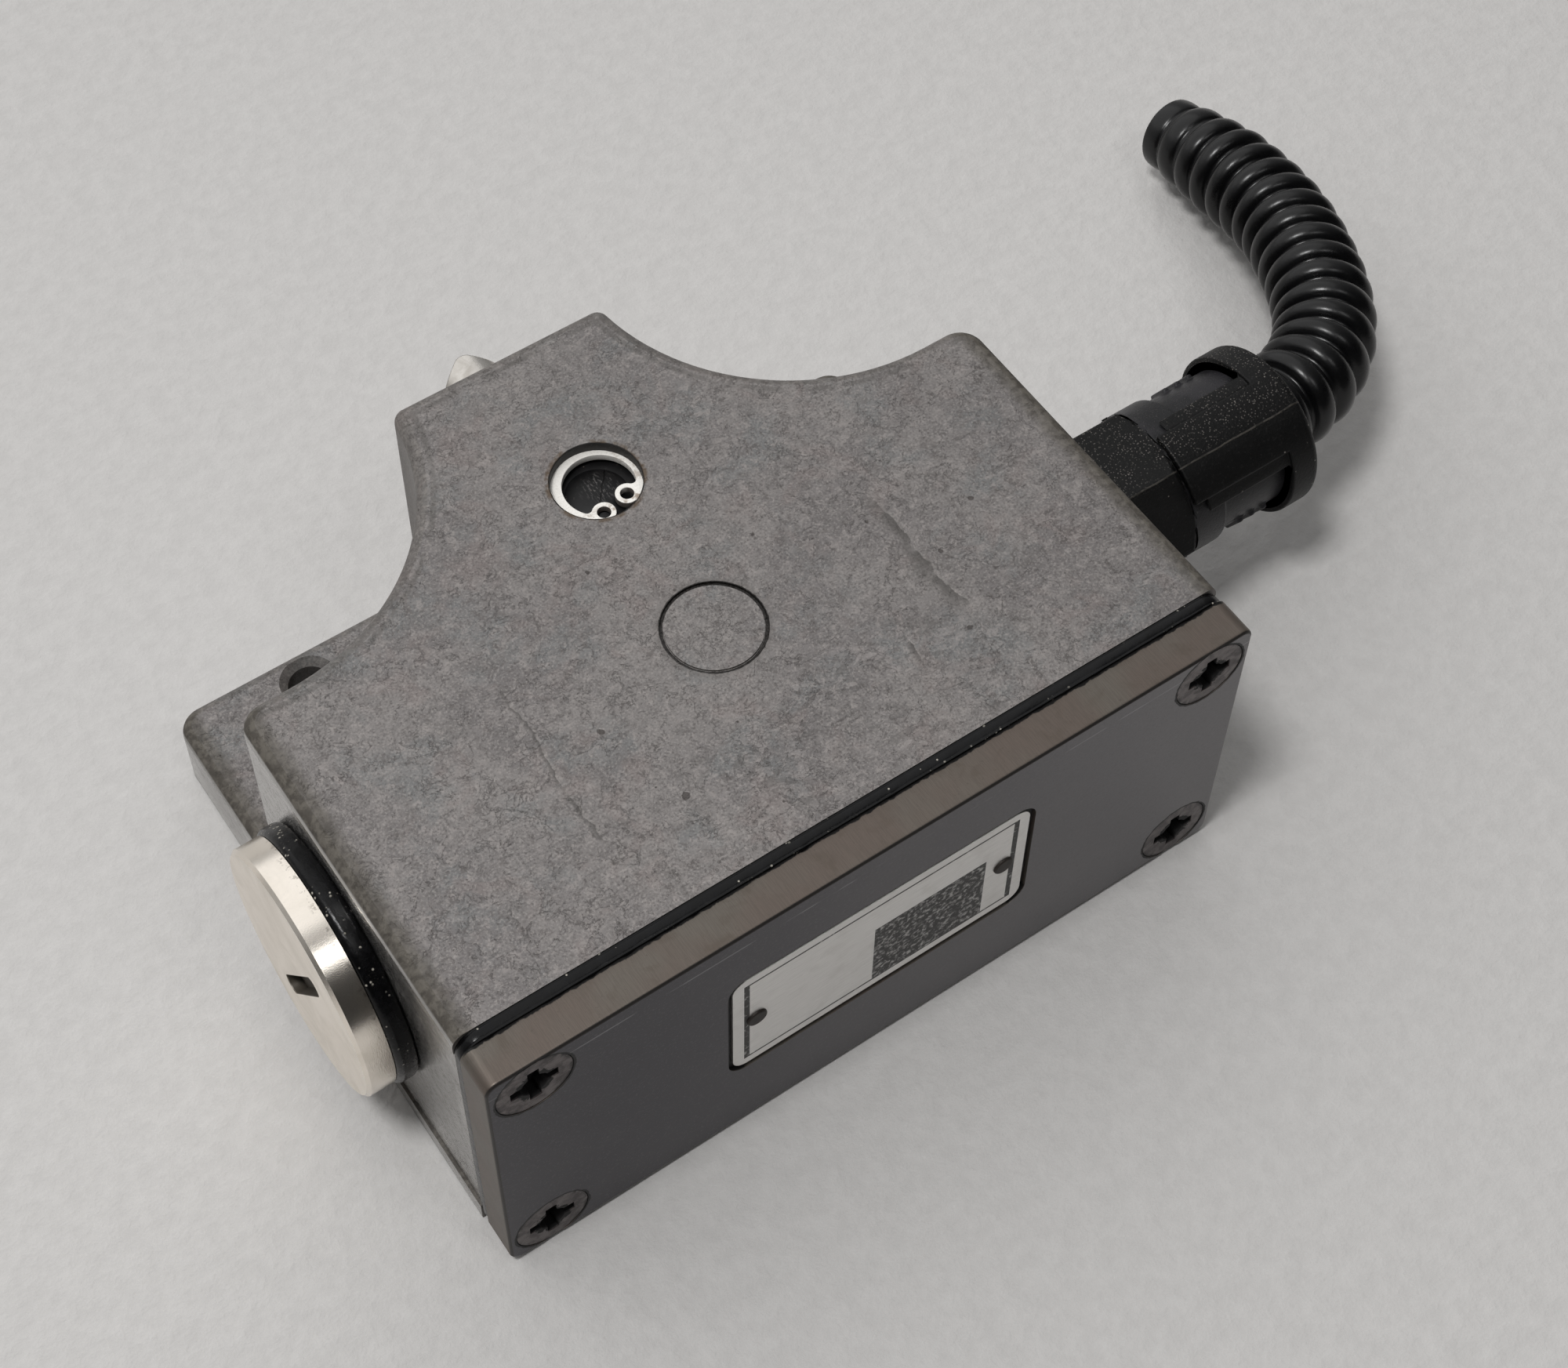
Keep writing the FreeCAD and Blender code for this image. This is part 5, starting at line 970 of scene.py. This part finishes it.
def make_floor():
    mesh = bpy.data.meshes.new("floor")
    corners = [(-1, -1), (1, -1), (1, 1), (-1, 1)]
    mesh.from_pydata([(x * FLOOR_HALF, y * FLOOR_HALF, 0) for x, y in corners], [], [(0, 1, 2, 3)])
    floor = bpy.data.objects.new("floor", mesh)
    floor.location.z = FLOOR_Z
    bpy.context.collection.objects.link(floor)
    k = Look("floor", Specular_IOR_Level=0.2)
    felt = k.noise(2.2, 4.0, 0.65)
    base = k.mix(k.ease(felt, 0.3, 0.7), shade(200, 198, 196), shade(206, 204, 202))
    mesh.materials.append(k.set(base, 0.85, k.bump(felt, 0.25)))


def make_lamps():
    for name, direction, distance, width, power in LAMPS:
        data = bpy.data.lights.new(name, "AREA")
        data.shape = "DISK"
        data.size = width
        data.energy = power
        lamp = bpy.data.objects.new(name, data)
        way = Vector(direction).normalized()
        lamp.location = Vector(LIT_PLACE) + way * distance
        lamp.rotation_mode = "QUATERNION"
        lamp.rotation_quaternion = way.to_track_quat("Z", "Y")
        bpy.context.collection.objects.link(lamp)


def make_world():
    """Soft light from behind the object and a dim room in front, the same for every ray."""
    world = bpy.data.worlds.new("studio")
    bpy.context.scene.world = world
    world.use_nodes = True
    tree = world.node_tree
    tree.nodes.clear()
    where = tree.nodes.new("ShaderNodeTexCoord")
    toward = tree.nodes.new("ShaderNodeVectorMath")
    toward.operation = "DOT_PRODUCT"
    toward.inputs[1].default_value = Vector(BRIGHT_SIDE).normalized()
    tree.links.new(where.outputs["Generated"], toward.inputs[0])
    level = tree.nodes.new("ShaderNodeMapRange")
    level.interpolation_type = "SMOOTHSTEP"
    for name, value in (("From Min", DIM_UP_TO), ("From Max", BRIGHT_FROM),
                        ("To Min", WORLD_DIM), ("To Max", WORLD_BRIGHT)):
        level.inputs[name].default_value = value
    tree.links.new(toward.outputs["Value"], level.inputs["Value"])
    light = tree.nodes.new("ShaderNodeBackground")
    tree.links.new(level.outputs[0], light.inputs["Strength"])
    out = tree.nodes.new("ShaderNodeOutputWorld")
    tree.links.new(light.outputs[0], out.inputs["Surface"])


conduit, conduit_line = make_conduit()
conduit.data.materials.append(LOOKS["conduit_plastic"])
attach(conduit, "root")
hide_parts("conduit")

dress_nodes()
make_soft_edges()
make_gasket_bead()
make_springs()
make_floor()
make_lamps()
make_world()

view = bpy.context.scene.view_settings
view.view_transform = "Standard"
